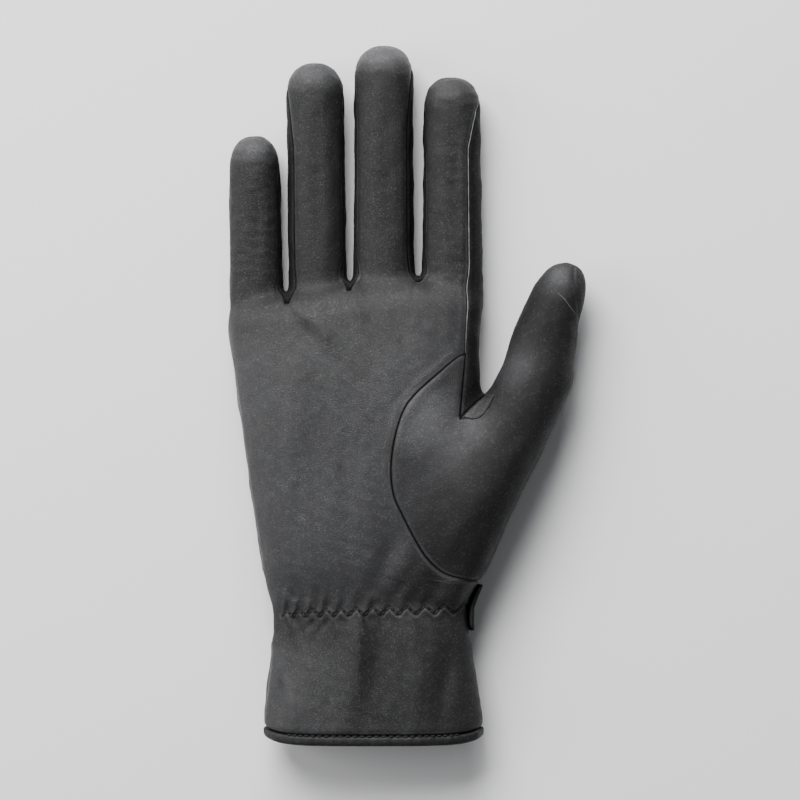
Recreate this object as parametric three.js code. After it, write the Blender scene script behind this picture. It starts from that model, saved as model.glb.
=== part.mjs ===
// Horse riding glove for the right hand, lying on its back with the palm up.
// X runs to the thumb side, Y to the fingertips and Z up from the palm, in millimetres.
import * as THREE from "three";

// Driving sizes
const glove_length = 240;
const hand_width = 87;
const hand_height = 28;
const finger_width = 20;
const finger_height = 17.5;
const thumb_length = 119.4;
const thumb_width = 25;
const thumb_height = 24;
const thumb_lean = 20 * Math.PI / 180;
const leather = 1.2;
const seam_gap = 0.3;
const flattening = 1.0;
const binding_depth = 3.4;
const binding_proud = 0.5;
const binding_thickness = 2.4;
const strap_width = 16;
const strap_thickness = 1.5;
const strap_reach = 26;
const strap_clearance = 0.7;
const strap_seat_margin = 1;
const strap_seat_slope = 4;
const elastic_pinch = 1.1;
const elastic_spread = 8;
const gather_depth = 0.7;
const gather_pitch = 14;
const web_width = 1.4;
const web_edge_lift = 0.6;
const web_rounding = 13;
const root_length = 8;
const root_rounding = 16;
const thumb_root_rounding = 9;
const hand_blend = 2;
const thumb_blend = 11;
const thumb_blend_at_wrist = 3;
const thumb_blend_reach = 30;
const crotch_out = 2;
const crotch_up = 4;
const mouth_corner_lift = 2.2;
const mouth_corner_reach = 25;
const floor_blend = 1.2;

// Places along the glove, as shares of glove_length
const elastic_along = 0.190;
const strap_along = 0.1935;
const thumb_seam_low = 0.2295;
const thumb_crotch_along = 0.482;
const root_line_left = 0.631;
const root_line_right = 0.684;
const horn_along = 0.5581;

// How far the strap's end wraps round the wrist's thumb side to the front, in half heights of the wrist
const strap_wrap = 0.6;

// Where the back seams of the finger strips lie, in from the side, in half widths of a finger
const back_strip = 0.12;

// Thumb rows between the wrist and the thumb's web, in shares of thumb_length
const ball_low = 0.055;
const ball_high = 0.515;
const ball_spacing = 1.3;

// Roundness of the sections: 2 is an ellipse, more is fuller
const hand_fullness = 2.5;
const finger_fullness = 2.2;
const tip_fullness = 2.35;

// Side seams, as the angle above the widest place of a section
const side_seam_rise = 10 * Math.PI / 180;

// Rows and columns of the leather
const front_columns = 5;
const strip_columns = 3;
const cuff_rows = 11;
const ball_rows = 11;
const horn_rows = 3;
const knuckle_rows = 5;
const finger_rows = 8;
const tip_rows = 4;
const thumb_front_columns = 7;
const horn_columns = 2;
const thumb_back_columns = 5;
const thumb_rows = 8;
const ring_evening_rows = 4;
const strip_closing_rows = 3;
const column_evening = 0.8;
const hem_columns = 48;
const strap_columns = 12;
const strap_rows = 4;

// Hand and cuff: along is a share of glove_length, left and right of hand_width, height of hand_height
const hand_sections = [
  { along: 0.000, left: -0.552, right: 0.303, height: 0.93 },
  { along: 0.033, left: -0.558, right: 0.305, height: 0.92 },
  { along: 0.076, left: -0.546, right: 0.289, height: 0.90 },
  { along: 0.133, left: -0.531, right: 0.268, height: 0.87 },
  { along: 0.190, left: -0.545, right: 0.268, height: 0.86 },
  { along: 0.219, left: -0.559, right: 0.280, height: 0.88 },
  { along: 0.262, left: -0.570, right: 0.290, height: 0.94 },
  { along: 0.349, left: -0.606, right: 0.297, height: 1.00 },
  { along: 0.420, left: -0.633, right: 0.297, height: 1.01 },
  { along: 0.492, left: -0.661, right: 0.297, height: 0.99 },
  { along: 0.564, left: -0.685, right: 0.293, height: 0.93 },
  { along: 0.636, left: -0.697, right: 0.297, height: 0.84 },
  { along: root_line_right, left: -0.699, right: 0.305, height: 0.76 },
];

// Fingers: root and tip are the middle's place in shares of hand_width, reach in glove_length,
// root_width and tip_width in finger_width, height in finger_height, tip_length in finger_width.
// left_strip and right_strip are how far in from the side the front seams lie, in half widths.
const fingers = [
  { name: "little", root: -0.590, tip: -0.600, reach: 0.871, root_width: 0.93, tip_width: 0.86,
    height: 0.92, tip_length: 0.62, left_strip: 0, right_strip: 0.10 },
  { name: "ring", root: -0.348, tip: -0.358, reach: 0.975, root_width: 1.00, tip_width: 1.00,
    height: 1.00, tip_length: 0.64, left_strip: 0.24, right_strip: 0.08 },
  { name: "middle", root: -0.084, tip: -0.085, reach: 1.000, root_width: 1.05, tip_width: 1.01,
    height: 1.02, tip_length: 0.60, left_strip: 0.08, right_strip: 0.22 },
  { name: "index", root: 0.188, tip: 0.186, reach: 0.955, root_width: 1.05, tip_width: 0.96,
    height: 1.00, tip_length: 0.58, left_strip: 0.08, right_strip: 0.46 },
];

// Webs between the fingers: across in hand_width, slit (end of the front seam) and web in glove_length
const webs = [
  { name: "little_ring", across: -0.466, slit: 0.634, web: 0.650 },
  { name: "ring_middle", across: -0.2216, slit: 0.653, web: 0.661 },
  { name: "middle_index", across: 0.0514, slit: 0.666, web: 0.671 },
];

// Thumb: along in thumb_length, side and width in thumb_width, height and level in thumb_height
const thumb_root = { across: 0.182, along: 0.2195 };
const thumb_tip_share = 0.136;
const thumb_sections = [
  { along: 0.000, side: -0.010, width: 0.61, height: 0.85, level: 0.52 },
  { along: 0.120, side: -0.036, width: 0.83, height: 1.04, level: 0.54 },
  { along: 0.250, side: -0.073, width: 0.99, height: 1.15, level: 0.57 },
  { along: 0.375, side: -0.041, width: 1.05, height: 1.16, level: 0.58 },
  { along: 0.500, side: 0.017, width: 1.05, height: 1.08, level: 0.55 },
  { along: 0.613, side: 0.087, width: 1.00, height: 0.98, level: 0.52 },
  { along: 0.675, side: 0.102, width: 0.99, height: 0.94, level: 0.51 },
  { along: 0.735, side: 0.063, width: 0.94, height: 0.90, level: 0.50 },
  { along: 0.800, side: 0.026, width: 0.85, height: 0.86, level: 0.49 },
  { along: 0.862, side: 0.010, width: 0.76, height: 0.81, level: 0.48 },
  { along: 1.000, side: 0.030, width: 0.72, height: 0.75, level: 0.47 },
];

// Curved seam round the ball of the thumb: along in glove_length, across in hand_width
const palm_seam = [
  { along: thumb_seam_low, across: 0.300 },
  { along: 0.2453, across: 0.150 },
  { along: 0.2654, across: 0.087 },
  { along: 0.2970, across: 0.032 },
  { along: 0.3257, across: -0.008 },
  { along: 0.3543, across: -0.043 },
  { along: 0.3917, across: -0.055 },
  { along: 0.4376, across: -0.040 },
  { along: 0.4777, across: -0.004 },
  { along: 0.4964, across: 0.032 },
  { along: 0.5179, across: 0.095 },
  { along: 0.5365, across: 0.158 },
  { along: horn_along, across: 0.2515 },
];

// Back seam of the thumb and its strip: along in glove_length, across in hand_width
const back_seam = [
  { along: thumb_seam_low, across: 0.300 },
  { along: 0.2600, across: 0.262 },
  { along: 0.3300, across: 0.232 },
  { along: 0.4200, across: 0.225 },
  { along: thumb_crotch_along, across: 0.240 },
  { along: horn_along, across: 0.262 },
  { along: root_line_right, across: 0.270 },
];

// Soft folds and dents: across in hand_width, along, long and wide in glove_length, turn in degrees
// from the finger direction to the thumb side, rise in leather walls (a dent is less than nothing)
const folds = [
  { across: -0.183, along: 0.122, turn: 0, long: 0.060, wide: 0.016, rise: 1.0 },
  { across: -0.090, along: 0.120, turn: 0, long: 0.060, wide: 0.020, rise: -0.9 },
  { across: -0.380, along: 0.080, turn: -6, long: 0.065, wide: 0.026, rise: 0.8 },
  { across: -0.480, along: 0.075, turn: 18, long: 0.055, wide: 0.012, rise: -0.6 },
  { across: 0.060, along: 0.085, turn: 4, long: 0.060, wide: 0.020, rise: 0.6 },
  { across: 0.170, along: 0.110, turn: 8, long: 0.050, wide: 0.014, rise: -0.6 },
  { across: -0.340, along: 0.596, turn: -42, long: 0.036, wide: 0.011, rise: 0.7 },
  { across: -0.385, along: 0.586, turn: -38, long: 0.034, wide: 0.010, rise: -0.6 },
  { across: -0.190, along: 0.624, turn: -24, long: 0.030, wide: 0.009, rise: 0.6 },
  { across: -0.300, along: 0.420, turn: 10, long: 0.110, wide: 0.060, rise: -1.2 },
  { across: -0.060, along: 0.270, turn: 24, long: 0.050, wide: 0.014, rise: -0.6 },
  { across: 0.200, along: 0.300, turn: 30, long: 0.050, wide: 0.016, rise: 0.5 },
];

// Everyday sums
const mix = (from, to, share) => from + (to - from) * share;
const blendPoint = (from, to, share) => from.clone().lerp(to, share);
const soften = (share) => share * share * (3 - 2 * share);
const clamp = (value, low, high) => Math.min(high, Math.max(low, value));
const signedPower = (value, power) => Math.sign(value) * Math.abs(value) ** power;

// Smooth curve through one column of a table whose rows follow "along"
function through(table, column, along) {
  const last = table.length - 1;
  const at = clamp(along, table[0].along, table[last].along);
  let low = 0;
  while (low < last - 1 && table[low + 1].along < at) low += 1;
  const slope = (index) => {
    const before = table[Math.max(0, index - 1)];
    const after = table[Math.min(last, index + 1)];
    return (after[column] - before[column]) / (after.along - before.along);
  };
  const span = table[low + 1].along - table[low].along;
  const share = (at - table[low].along) / span;
  const start = table[low][column];
  const end = table[low + 1][column];
  const rise = end - start;
  const leave = slope(low) * span;
  const arrive = slope(low + 1) * span;
  const bend = 3 * rise - 2 * leave - arrive;
  const twist = leave + arrive - 2 * rise;
  return start + share * (leave + share * (bend + share * twist));
}

// Straight lines through a list of [place, value] pairs, level beyond its ends
function alongLines(pairs, place) {
  let index = 0;
  while (index < pairs.length - 2 && pairs[index + 1][0] < place) index += 1;
  const [low, start] = pairs[index];
  const [high, end] = pairs[index + 1];
  return mix(start, end, clamp((place - low) / (high - low), 0, 1));
}

// Union and cut of two distances, rounded over a width
function joinSoft(first, second, width) {
  const near = Math.max(width - Math.abs(first - second), 0) / width;
  return Math.min(first, second) - near * near * width / 4;
}

function cutSoft(first, second, width) {
  return -joinSoft(-first, -second, width);
}

// Distance, near enough, from a tube with round ends; over is the place past the start of an end,
// in shares of cap, the length of that end
function tubeDistance(side, up, over, half_width, half_height, cap, fullness) {
  const u = Math.abs(side) / half_width;
  const v = Math.abs(up) / half_height;
  const w = Math.max(0, over);
  const ring = (u ** fullness + v ** fullness) ** (1 / fullness);
  const whole = (ring ** tip_fullness + w ** tip_fullness) ** (1 / tip_fullness);
  if (ring < 1e-6) return (whole - 1) * half_height;
  const share = (ring / whole) ** (tip_fullness - 1);
  const slope_side = share * (u / ring) ** (fullness - 1) / half_width;
  const slope_up = share * (v / ring) ** (fullness - 1) / half_height;
  const slope_on = (w / whole) ** (tip_fullness - 1) / cap;
  return (whole - 1) / Math.hypot(slope_side, slope_up, slope_on);
}

// Hand and cuff
function handSection(y) {
  const along = y / glove_length;
  const left = through(hand_sections, "left", along) * hand_width;
  const right = through(hand_sections, "right", along) * hand_width;
  const half_height = through(hand_sections, "height", along) * hand_height / 2;
  return {
    middle: (left + right) / 2,
    half_width: (right - left) / 2,
    half_height,
    level: half_height - flattening,
  };
}

const web_line = webs.map((web) => [web.across * hand_width, web.web * glove_length]);
const root_line = [
  [hand_sections.at(-1).left * hand_width, root_line_left * glove_length],
  ...webs.map((web) => [web.across * hand_width, web.slit * glove_length]),
  [hand_sections.at(-1).right * hand_width, root_line_right * glove_length],
];

function handDistance(p) {
  const section = handSection(p.y);
  const end = alongLines(web_line, p.x) - web_rounding;
  const over = (p.y - end) / web_rounding;
  return tubeDistance(p.x - section.middle, p.z - section.level, over,
    section.half_width, section.half_height, web_rounding, hand_fullness);
}

// Fingers
function fingerSection(finger, y) {
  const tip = finger.reach * glove_length;
  const root = alongLines(root_line, finger.root * hand_width);
  const share = clamp((y - root) / (tip - root), 0, 1);
  const cap = finger.tip_length * finger_width;
  const half_height = finger.height * finger_height / 2;
  return {
    middle: mix(finger.root, finger.tip, share) * hand_width,
    half_width: mix(finger.root_width, finger.tip_width, share) * finger_width / 2,
    half_height,
    level: half_height - flattening,
    cap,
    over: Math.max((y - tip + cap) / cap, (root - root_length - y) / root_rounding),
  };
}

function fingerDistance(finger, p) {
  const section = fingerSection(finger, p.y);
  return tubeDistance(p.x - section.middle, p.z - section.level, section.over,
    section.half_width, section.half_height, section.cap, finger_fullness);
}

// Thumb, measured along a straight line from its root at the wrist to its tip
const thumb_start = new THREE.Vector3(thumb_root.across * hand_width, thumb_root.along * glove_length, 0);
const thumb_forward = new THREE.Vector3(Math.sin(thumb_lean), Math.cos(thumb_lean), 0);
const thumb_sideways = new THREE.Vector3(Math.cos(thumb_lean), -Math.sin(thumb_lean), 0);

function thumbSection(on) {
  const along = clamp(on / thumb_length, 0, 1);
  const cap = thumb_tip_share * thumb_length;
  return {
    side: through(thumb_sections, "side", along) * thumb_width,
    half_width: through(thumb_sections, "width", along) * thumb_width / 2,
    half_height: through(thumb_sections, "height", along) * thumb_height / 2,
    level: through(thumb_sections, "level", along) * thumb_height,
    cap,
    over: Math.max((on - thumb_length + cap) / cap, -on / thumb_root_rounding),
  };
}

function thumbDistance(p) {
  const from_start = p.clone().sub(thumb_start);
  const section = thumbSection(from_start.dot(thumb_forward));
  return tubeDistance(from_start.dot(thumb_sideways) - section.side, p.z - section.level, section.over,
    section.half_width, section.half_height, section.cap, finger_fullness);
}

// Height of the folds, gathers and pinch on the leather at a place
function reliefAt(p) {
  const section = handSection(p.y);
  const front = soften(clamp((p.z - section.level) / section.half_height + 0.5, 0, 1));
  let rise = 0;
  for (const fold of folds) {
    const turn = fold.turn * Math.PI / 180;
    const dx = p.x - fold.across * hand_width;
    const dy = p.y - fold.along * glove_length;
    const on = (dx * Math.sin(turn) + dy * Math.cos(turn)) / (fold.long * glove_length);
    const off = (dx * Math.cos(turn) - dy * Math.sin(turn)) / (fold.wide * glove_length);
    rise += fold.rise * leather * Math.exp(-on * on - off * off) * front;
  }
  const from_elastic = (p.y - elastic_along * glove_length) / elastic_spread;
  const near_elastic = Math.exp(-from_elastic * from_elastic);
  rise -= elastic_pinch * near_elastic;
  rise += gather_depth * Math.cos(p.x * 2 * Math.PI / gather_pitch) * near_elastic * front;
  const strap_seat = strap_thickness + strap_clearance + seam_gap;
  const from_strap = Math.abs(p.y - strap_along * glove_length) - strap_width / 2 - strap_seat_margin;
  rise -= strap_seat * soften(clamp(1 - from_strap / strap_seat_slope, 0, 1)) * (1 - front);
  return rise;
}

// The whole outside of the glove: less than nothing inside it
function gloveDistance(p) {
  let nearest = Infinity;
  for (const finger of fingers) nearest = Math.min(nearest, fingerDistance(finger, p));
  const hand = joinSoft(handDistance(p), nearest, hand_blend);
  const from_wrist = clamp((p.y - thumb_start.y) / thumb_blend_reach, 0, 1);
  const blend = mix(thumb_blend_at_wrist, thumb_blend, soften(from_wrist));
  const body = joinSoft(hand, thumbDistance(p), blend) - reliefAt(p);
  return cutSoft(body, -p.z, floor_blend);
}

function gradientAt(p) {
  const step = 0.02;
  const slope = new THREE.Vector3();
  for (const axis of ["x", "y", "z"]) {
    const high = p.clone();
    const low = p.clone();
    high[axis] += step;
    low[axis] -= step;
    slope[axis] = (gloveDistance(high) - gloveDistance(low)) / (2 * step);
  }
  return slope;
}

// Moves a point onto the leather, or to a height above it
function settle(start, height = 0) {
  const p = start.clone();
  for (let turn = 0; turn < 40; turn += 1) {
    const away = gloveDistance(p) - height;
    if (Math.abs(away) < 1e-6) break;
    const slope = gradientAt(p);
    const step = clamp(away / slope.lengthSq(), -2, 2);
    p.addScaledVector(slope, -step);
  }
  p.z = Math.max(p.z, 0);
  return p;
}

// Finds the leather on the line from an outer point towards an inner one
function reach(outer, inner, height = 0) {
  const toward = inner.clone().sub(outer);
  const distance = (share) => gloveDistance(outer.clone().addScaledVector(toward, share)) - height;
  let share = 0;
  while (distance(share) > 0 && share < 1) share += 0.01;
  let low = Math.max(0, share - 0.01);
  let high = share;
  for (let turn = 0; turn < 30; turn += 1) {
    const middle = (low + high) / 2;
    if (distance(middle) > 0) low = middle;
    else high = middle;
  }
  const p = outer.clone().addScaledVector(toward, high);
  p.z = Math.max(p.z, 0);
  return p;
}

// A place round the hand: arc is measured over the leather from the middle of the front or back
function handPlace(y, arc, front) {
  const section = handSection(y);
  const radius = section.half_height;
  const flat = section.half_width - radius;
  const turn = clamp((Math.abs(arc) - flat) / radius, 0, Math.PI / 2);
  const up = front ? 1 : -1;
  const direction = new THREE.Vector3(Math.sign(arc) * Math.sin(turn), 0, up * Math.cos(turn));
  const x = section.middle + Math.sign(arc) * Math.min(Math.abs(arc), flat);
  const inner = new THREE.Vector3(x, y, section.level);
  return reach(inner.clone().addScaledVector(direction, 3 * radius), inner);
}

// Lifts the corners of the cuff's mouth, so that its edge is a shallow arc
function roundMouth(point) {
  const section = handSection(point.y);
  const off = Math.abs(point.x - section.middle) / section.half_width;
  const fade = 1 - soften(clamp(point.y / mouth_corner_reach, 0, 1));
  point.y += mouth_corner_lift * Math.min(off, 1) ** 8 * fade;
  return point;
}

function arcOfX(y, x) {
  const section = handSection(y);
  const radius = section.half_height;
  const flat = section.half_width - radius;
  const off = x - section.middle;
  if (Math.abs(off) <= flat) return off;
  const turn = Math.asin(clamp((Math.abs(off) - flat) / radius, 0, 1));
  return Math.sign(off) * (flat + radius * turn);
}

function sideArc(y, rise) {
  const section = handSection(y);
  return section.half_width - section.half_height + section.half_height * (Math.PI / 2 - rise);
}

// A place round a finger: turn is 0 at the thumb side and a quarter turn on the front
function fingerPlace(finger, y, turn) {
  const section = fingerSection(finger, y);
  const shrink = (1 - clamp(section.over, 0, 1) ** tip_fullness) ** (1 / tip_fullness);
  const power = 2 / finger_fullness;
  return new THREE.Vector3(
    section.middle + section.half_width * shrink * signedPower(Math.cos(turn), power),
    y,
    section.level + section.half_height * shrink * signedPower(Math.sin(turn), power),
  );
}

// Rows of a finger: 0 at its root, then up to the start of the tip and round the tip
const all_finger_rows = finger_rows + tip_rows;

function fingerRowY(finger, row, x) {
  const root = alongLines(root_line, x);
  const tip = finger.reach * glove_length;
  const cap = finger.tip_length * finger_width;
  if (row <= finger_rows) return mix(root, tip - cap, row / finger_rows);
  const turn = (row - finger_rows) / tip_rows * Math.PI / 2;
  return tip - cap + cap * Math.sin(turn);
}

// Angle of the seam on one side of a finger; strips close to a point where the tip starts
function seamTurn(strip, row) {
  if (strip === 0) return side_seam_rise;
  const full = Math.acos((1 - strip) ** (finger_fullness / 2));
  const left = clamp((finger_rows + 1 - row) / strip_closing_rows, 0, 1);
  return full * Math.sqrt(left);
}

// One finger's front or back: rows of points from its little-finger side to its thumb side
function fingerFace(finger, front) {
  const up = front ? 1 : -1;
  const index = fingers.indexOf(finger);
  const rows = [];
  for (let row = 0; row <= all_finger_rows; row += 1) {
    const left_strip = front || finger.left_strip === 0 ? finger.left_strip : back_strip;
    const right_strip = front ? finger.right_strip : back_strip;
    const left_rise = left_strip === 0 ? up * side_seam_rise : seamTurn(left_strip, row);
    const start = Math.PI - left_rise;
    const end = seamTurn(right_strip, row);
    const points = [];
    for (let column = 0; column <= front_columns; column += 1) {
      const turn = up * mix(start, end, column / front_columns);
      const section = fingerSection(finger, root_line_left * glove_length);
      const near_x = section.middle + section.half_width * Math.cos(turn);
      const y = fingerRowY(finger, row, near_x);
      let place = fingerPlace(finger, y, turn);
      const web = column === 0 ? webs[index - 1] : column === front_columns ? webs[index] : undefined;
      if (row === 0 && web) place = slitCorner(web, column === 0 ? 1 : -1, front);
      points.push(settle(place));
    }
    rows.push(points);
  }
  return rows;
}

// Corner of a slit between two fingers, on the front or the back
function slitCorner(web, side, front) {
  const y = web.slit * glove_length;
  const section = handSection(y);
  const x = web.across * hand_width + side * web_width / 2;
  const inner = new THREE.Vector3(x, y - 1, section.level);
  const outer = inner.clone();
  outer.z += (front ? 3 : -3) * section.half_height;
  return reach(outer, inner);
}

// Leather piece: a skin of points on the glove, given its wall and a gap at its edges
class Piece {
  constructor() {
    this.points = [];
    this.index_of = new Map();
    this.faces = [];
  }

  add(point) {
    const key = [point.x, point.y, point.z].map((value) => Math.round(value * 1e4)).join(" ");
    if (!this.index_of.has(key)) {
      this.index_of.set(key, this.points.length);
      this.points.push(point.clone());
    }
    return this.index_of.get(key);
  }

  // Adds the faces between rows of points that have equal counts
  sheet(rows) {
    const faces = [];
    let facing = 0;
    for (let row = 0; row + 1 < rows.length; row += 1) {
      for (let column = 0; column + 1 < rows[row].length; column += 1) {
        const near = rows[row];
        const far = rows[row + 1];
        const corners = [near[column], near[column + 1], far[column + 1], far[column]];
        const [a, b, c, d] = corners.map((corner) => this.add(corner));
        const short = corners[0].distanceTo(corners[2]) < corners[1].distanceTo(corners[3]);
        const pair = short ? [[a, b, c], [a, c, d]] : [[a, b, d], [b, c, d]];
        faces.push(...pair.filter((face) => new Set(face).size === 3));
      }
    }
    for (const face of faces) {
      const [a, b, c] = face.map((index) => this.points[index]);
      const normal = b.clone().sub(a).cross(c.clone().sub(a));
      const middle = a.clone().add(b).add(c).divideScalar(3);
      facing += Math.sign(normal.dot(gradientAt(middle)));
    }
    this.faces.push(...(facing < 0 ? faces.map(([a, b, c]) => [a, c, b]) : faces));
  }

  edges() {
    const once = new Map();
    for (const face of this.faces) {
      for (let side = 0; side < 3; side += 1) {
        const from = face[side];
        const to = face[(side + 1) % 3];
        if (once.has(`${to} ${from}`)) once.delete(`${to} ${from}`);
        else once.set(`${from} ${to}`, [from, to]);
      }
    }
    return [...once.values()];
  }

  // The wall as one closed body
  geometry() {
    const normals = this.points.map((point) => gradientAt(point).normalize());
    const pulls = this.points.map(() => []);
    const edges = this.edges();
    for (const [from, to] of edges) {
      const along = this.points[to].clone().sub(this.points[from]);
      for (const end of [from, to]) {
        pulls[end].push(normals[end].clone().cross(along).normalize());
      }
    }
    const outer = this.points.map((point, index) => {
      const pull = new THREE.Vector3();
      for (const part of pulls[index]) pull.add(part);
      if (pulls[index].length === 0) return point.clone();
      const count = pulls[index].length;
      const spread = Math.max(0.25, pull.length() / count);
      return point.clone().addScaledVector(pull.normalize(), seam_gap / 2 / spread);
    });
    const inner = outer.map((point, index) => point.clone().addScaledVector(normals[index], -leather));
    const count = outer.length;
    const triangles = [];
    for (const [a, b, c] of this.faces) {
      triangles.push(a, b, c);
      triangles.push(count + a, count + c, count + b);
    }
    for (const [from, to] of edges) {
      const lower = this.points[from].y + this.points[from].x < this.points[to].y + this.points[to].x;
      if (lower) triangles.push(to, from, count + from, to, count + from, count + to);
      else triangles.push(to, from, count + to, from, count + from, count + to);
    }
    return solidGeometry([...outer, ...inner], triangles);
  }
}

function solidGeometry(points, triangles) {
  const geometry = new THREE.BufferGeometry();
  const values = points.flatMap((point) => [point.x, point.y, point.z]);
  geometry.setAttribute("position", new THREE.Float32BufferAttribute(values, 3));
  geometry.setIndex(triangles);
  return geometry;
}

// Rows shared by the palm, the back, the strip and the thumb
const hand_rows = cuff_rows + ball_rows + horn_rows + knuckle_rows;
const panel_low = binding_depth + seam_gap / 2;
const low_seam_y = thumb_seam_low * glove_length;
const crotch_y = thumb_crotch_along * glove_length;

// The palm seam as one curve, and its place in each row: share of the curve from its low end
const palm_curve = new THREE.CatmullRomCurve3(palm_seam.map((place) => (
  new THREE.Vector3(place.across * hand_width, place.along * glove_length, 0))));
const crotch_share = curveShareAt(crotch_y);

function curveShareAt(y) {
  let low = 0;
  let high = 1;
  for (let turn = 0; turn < 30; turn += 1) {
    const middle = (low + high) / 2;
    if (palm_curve.getPointAt(middle).y < y) low = middle;
    else high = middle;
  }
  return low;
}

function seamInRow(row) {
  const step = row - cuff_rows;
  if (step <= ball_rows) return palm_curve.getPointAt(crotch_share * step / ball_rows);
  return palm_curve.getPointAt(mix(crotch_share, 1, (step - ball_rows) / horn_rows));
}

function handRowY(row, x) {
  if (row <= cuff_rows) return mix(panel_low, low_seam_y, row / cuff_rows);
  if (row <= cuff_rows + ball_rows) return mix(low_seam_y, crotch_y, (row - cuff_rows) / ball_rows);
  const share = (row - cuff_rows - ball_rows) / (horn_rows + knuckle_rows);
  return mix(crotch_y, alongLines(root_line, x), share);
}

// Height and arc place of the thumb-side edge of the palm or the back in one row
function thumbSide(row, front, end_x) {
  const y = handRowY(row, end_x);
  if (row <= cuff_rows) return { y, arc: sideArc(y, 0) };
  if (!front) return { y, arc: arcOfX(y, through(back_seam, "across", y / glove_length) * hand_width) };
  if (row >= cuff_rows + ball_rows + horn_rows) return { y, arc: arcOfX(y, end_x) };
  const seam = seamInRow(row);
  return { y: seam.y, arc: arcOfX(seam.y, seam.x) };
}

// Height of the side seam over the widest place of the hand; it meets the little finger's seam
function sideRise(row) {
  const top = handSection(root_line_left * glove_length);
  const finger = fingerSection(fingers[0], root_line_left * glove_length);
  const seam_z = finger.level + finger.half_height * Math.sin(side_seam_rise);
  const top_rise = Math.asin((seam_z - top.level) / top.half_height);
  const share = clamp((row - cuff_rows - ball_rows) / (horn_rows + knuckle_rows), 0, 1);
  return mix(side_seam_rise, top_rise, soften(share));
}

// The palm or the back below the fingers
function handFace(front, faces) {
  const top = faces.flatMap((face) => face[0]);
  const top_x = top.map((point) => point.x);
  const end_x = top_x.at(-1);
  const section_top = fingerSection(fingers[0], root_line_left * glove_length);
  const top_arc = top_x.map((x) => {
    const off = x - section_top.middle;
    if (off >= 0) return off;
    return -section_top.half_width * Math.asin(clamp(-off / section_top.half_width, 0, 1));
  });
  const shares = top_arc.map((arc) => (arc - top_arc[0]) / (top_arc.at(-1) - top_arc[0]));
  const rows = [];
  for (let row = 0; row < hand_rows; row += 1) {
    const rise = front ? sideRise(row) : -sideRise(row);
    const down = clamp(1 - row / hand_rows, 0, 1);
    const end = thumbSide(row, front, end_x);
    const points = top_x.map((x, column) => {
      const even = column / (top_x.length - 1);
      const share = mix(shares[column], even, soften(clamp(down * 2, 0, 1)) * column_evening);
      const y = mix(handRowY(row, x), end.y, share * share);
      return roundMouth(handPlace(y, mix(-sideArc(y, rise), end.arc, share), front));
    });
    rows.push(points);
  }
  rows.push(top);
  return rows;
}

const front_fingers = fingers.map((finger) => fingerFace(finger, true));
const back_fingers = fingers.map((finger) => fingerFace(finger, false));
const palm_rows = handFace(true, front_fingers);
const back_rows = handFace(false, back_fingers);

// The side seam under the little finger and the cuff's thumb side are one line for both panels
function shareSideSeams() {
  for (let row = 0; row <= hand_rows; row += 1) back_rows[row][0] = palm_rows[row][0];
  for (let row = 0; row <= cuff_rows; row += 1) {
    back_rows[row][back_rows[row].length - 1] = palm_rows[row].at(-1);
  }
  fingers.forEach((finger, index) => {
    for (let row = 0; row <= all_finger_rows; row += 1) {
      const front = front_fingers[index][row];
      const back = back_fingers[index][row];
      if (index === 0) back[0] = front[0];
      if (row >= finger_rows + 1) {
        back[0] = front[0];
        back[front_columns] = front[front_columns];
      }
      if (row === all_finger_rows) {
        const tip = front[0];
        front.fill(tip);
        back.fill(tip);
      }
    }
  });
}

shareSideSeams();

function panelPiece(rows, finger_faces) {
  const piece = new Piece();
  piece.sheet(rows);
  for (const face of finger_faces) piece.sheet(face);
  return piece;
}

// Strip between two fingers: down one finger, round the web and up the next
function fourchettePiece(web, index) {
  const rows = [];
  const web_y = web.web * glove_length;
  const slit_y = web.slit * glove_length;
  const sides = [
    { finger: fingers[index], face: index, column: front_columns, side: -1 },
    { finger: fingers[index + 1], face: index + 1, column: 0, side: 1 },
  ];
  for (const { finger, face, column, side } of sides) {
    const arm = [];
    for (let row = 0; row <= finger_rows + 1; row += 1) {
      const front = front_fingers[face][row][column];
      const back = back_fingers[face][row][column];
      const points = [front];
      for (let place = 1; place < strip_columns; place += 1) {
        const share = place / strip_columns;
        const bow = Math.sin(share * Math.PI);
        const lift = bow * (web_y - slit_y) * clamp(1 - row / finger_rows, 0, 1);
        const z = mix(front.z, back.z, share);
        const y = mix(front.y, back.y, share) + lift;
        const section = fingerSection(finger, y);
        const up = clamp((z - section.level) / section.half_height, -1, 1);
        const out = section.half_width * (1 - Math.abs(up) ** finger_fullness) ** (1 / finger_fullness);
        const wall_x = section.middle - side * out;
        const x = row === 0 ? mix(front.x, back.x, share) : wall_x;
        points.push(settle(new THREE.Vector3(x, y + (row === 0 ? web_edge_lift : 0), z)));
      }
      points.push(back);
      arm.push(row === finger_rows + 1 ? points.map(() => front) : points);
    }
    if (side < 0) arm.reverse();
    rows.push(...arm);
  }
  const piece = new Piece();
  piece.sheet(rows);
  return piece;
}

// Ball of the thumb: rows from the palm seam round the thumb's outer edge to the back seam
const thumb_columns = thumb_front_columns + thumb_back_columns;

function thumbPlace(on, turn) {
  const section = thumbSection(on);
  const shrink = (1 - clamp(section.over, 0, 1) ** tip_fullness) ** (1 / tip_fullness);
  const power = 2 / finger_fullness;
  const side = section.side + section.half_width * shrink * signedPower(Math.cos(turn), power);
  const place = thumb_start.clone();
  place.addScaledVector(thumb_forward, on);
  place.addScaledVector(thumb_sideways, side);
  place.z = section.level + section.half_height * shrink * signedPower(Math.sin(turn), power);
  return place;
}

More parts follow.
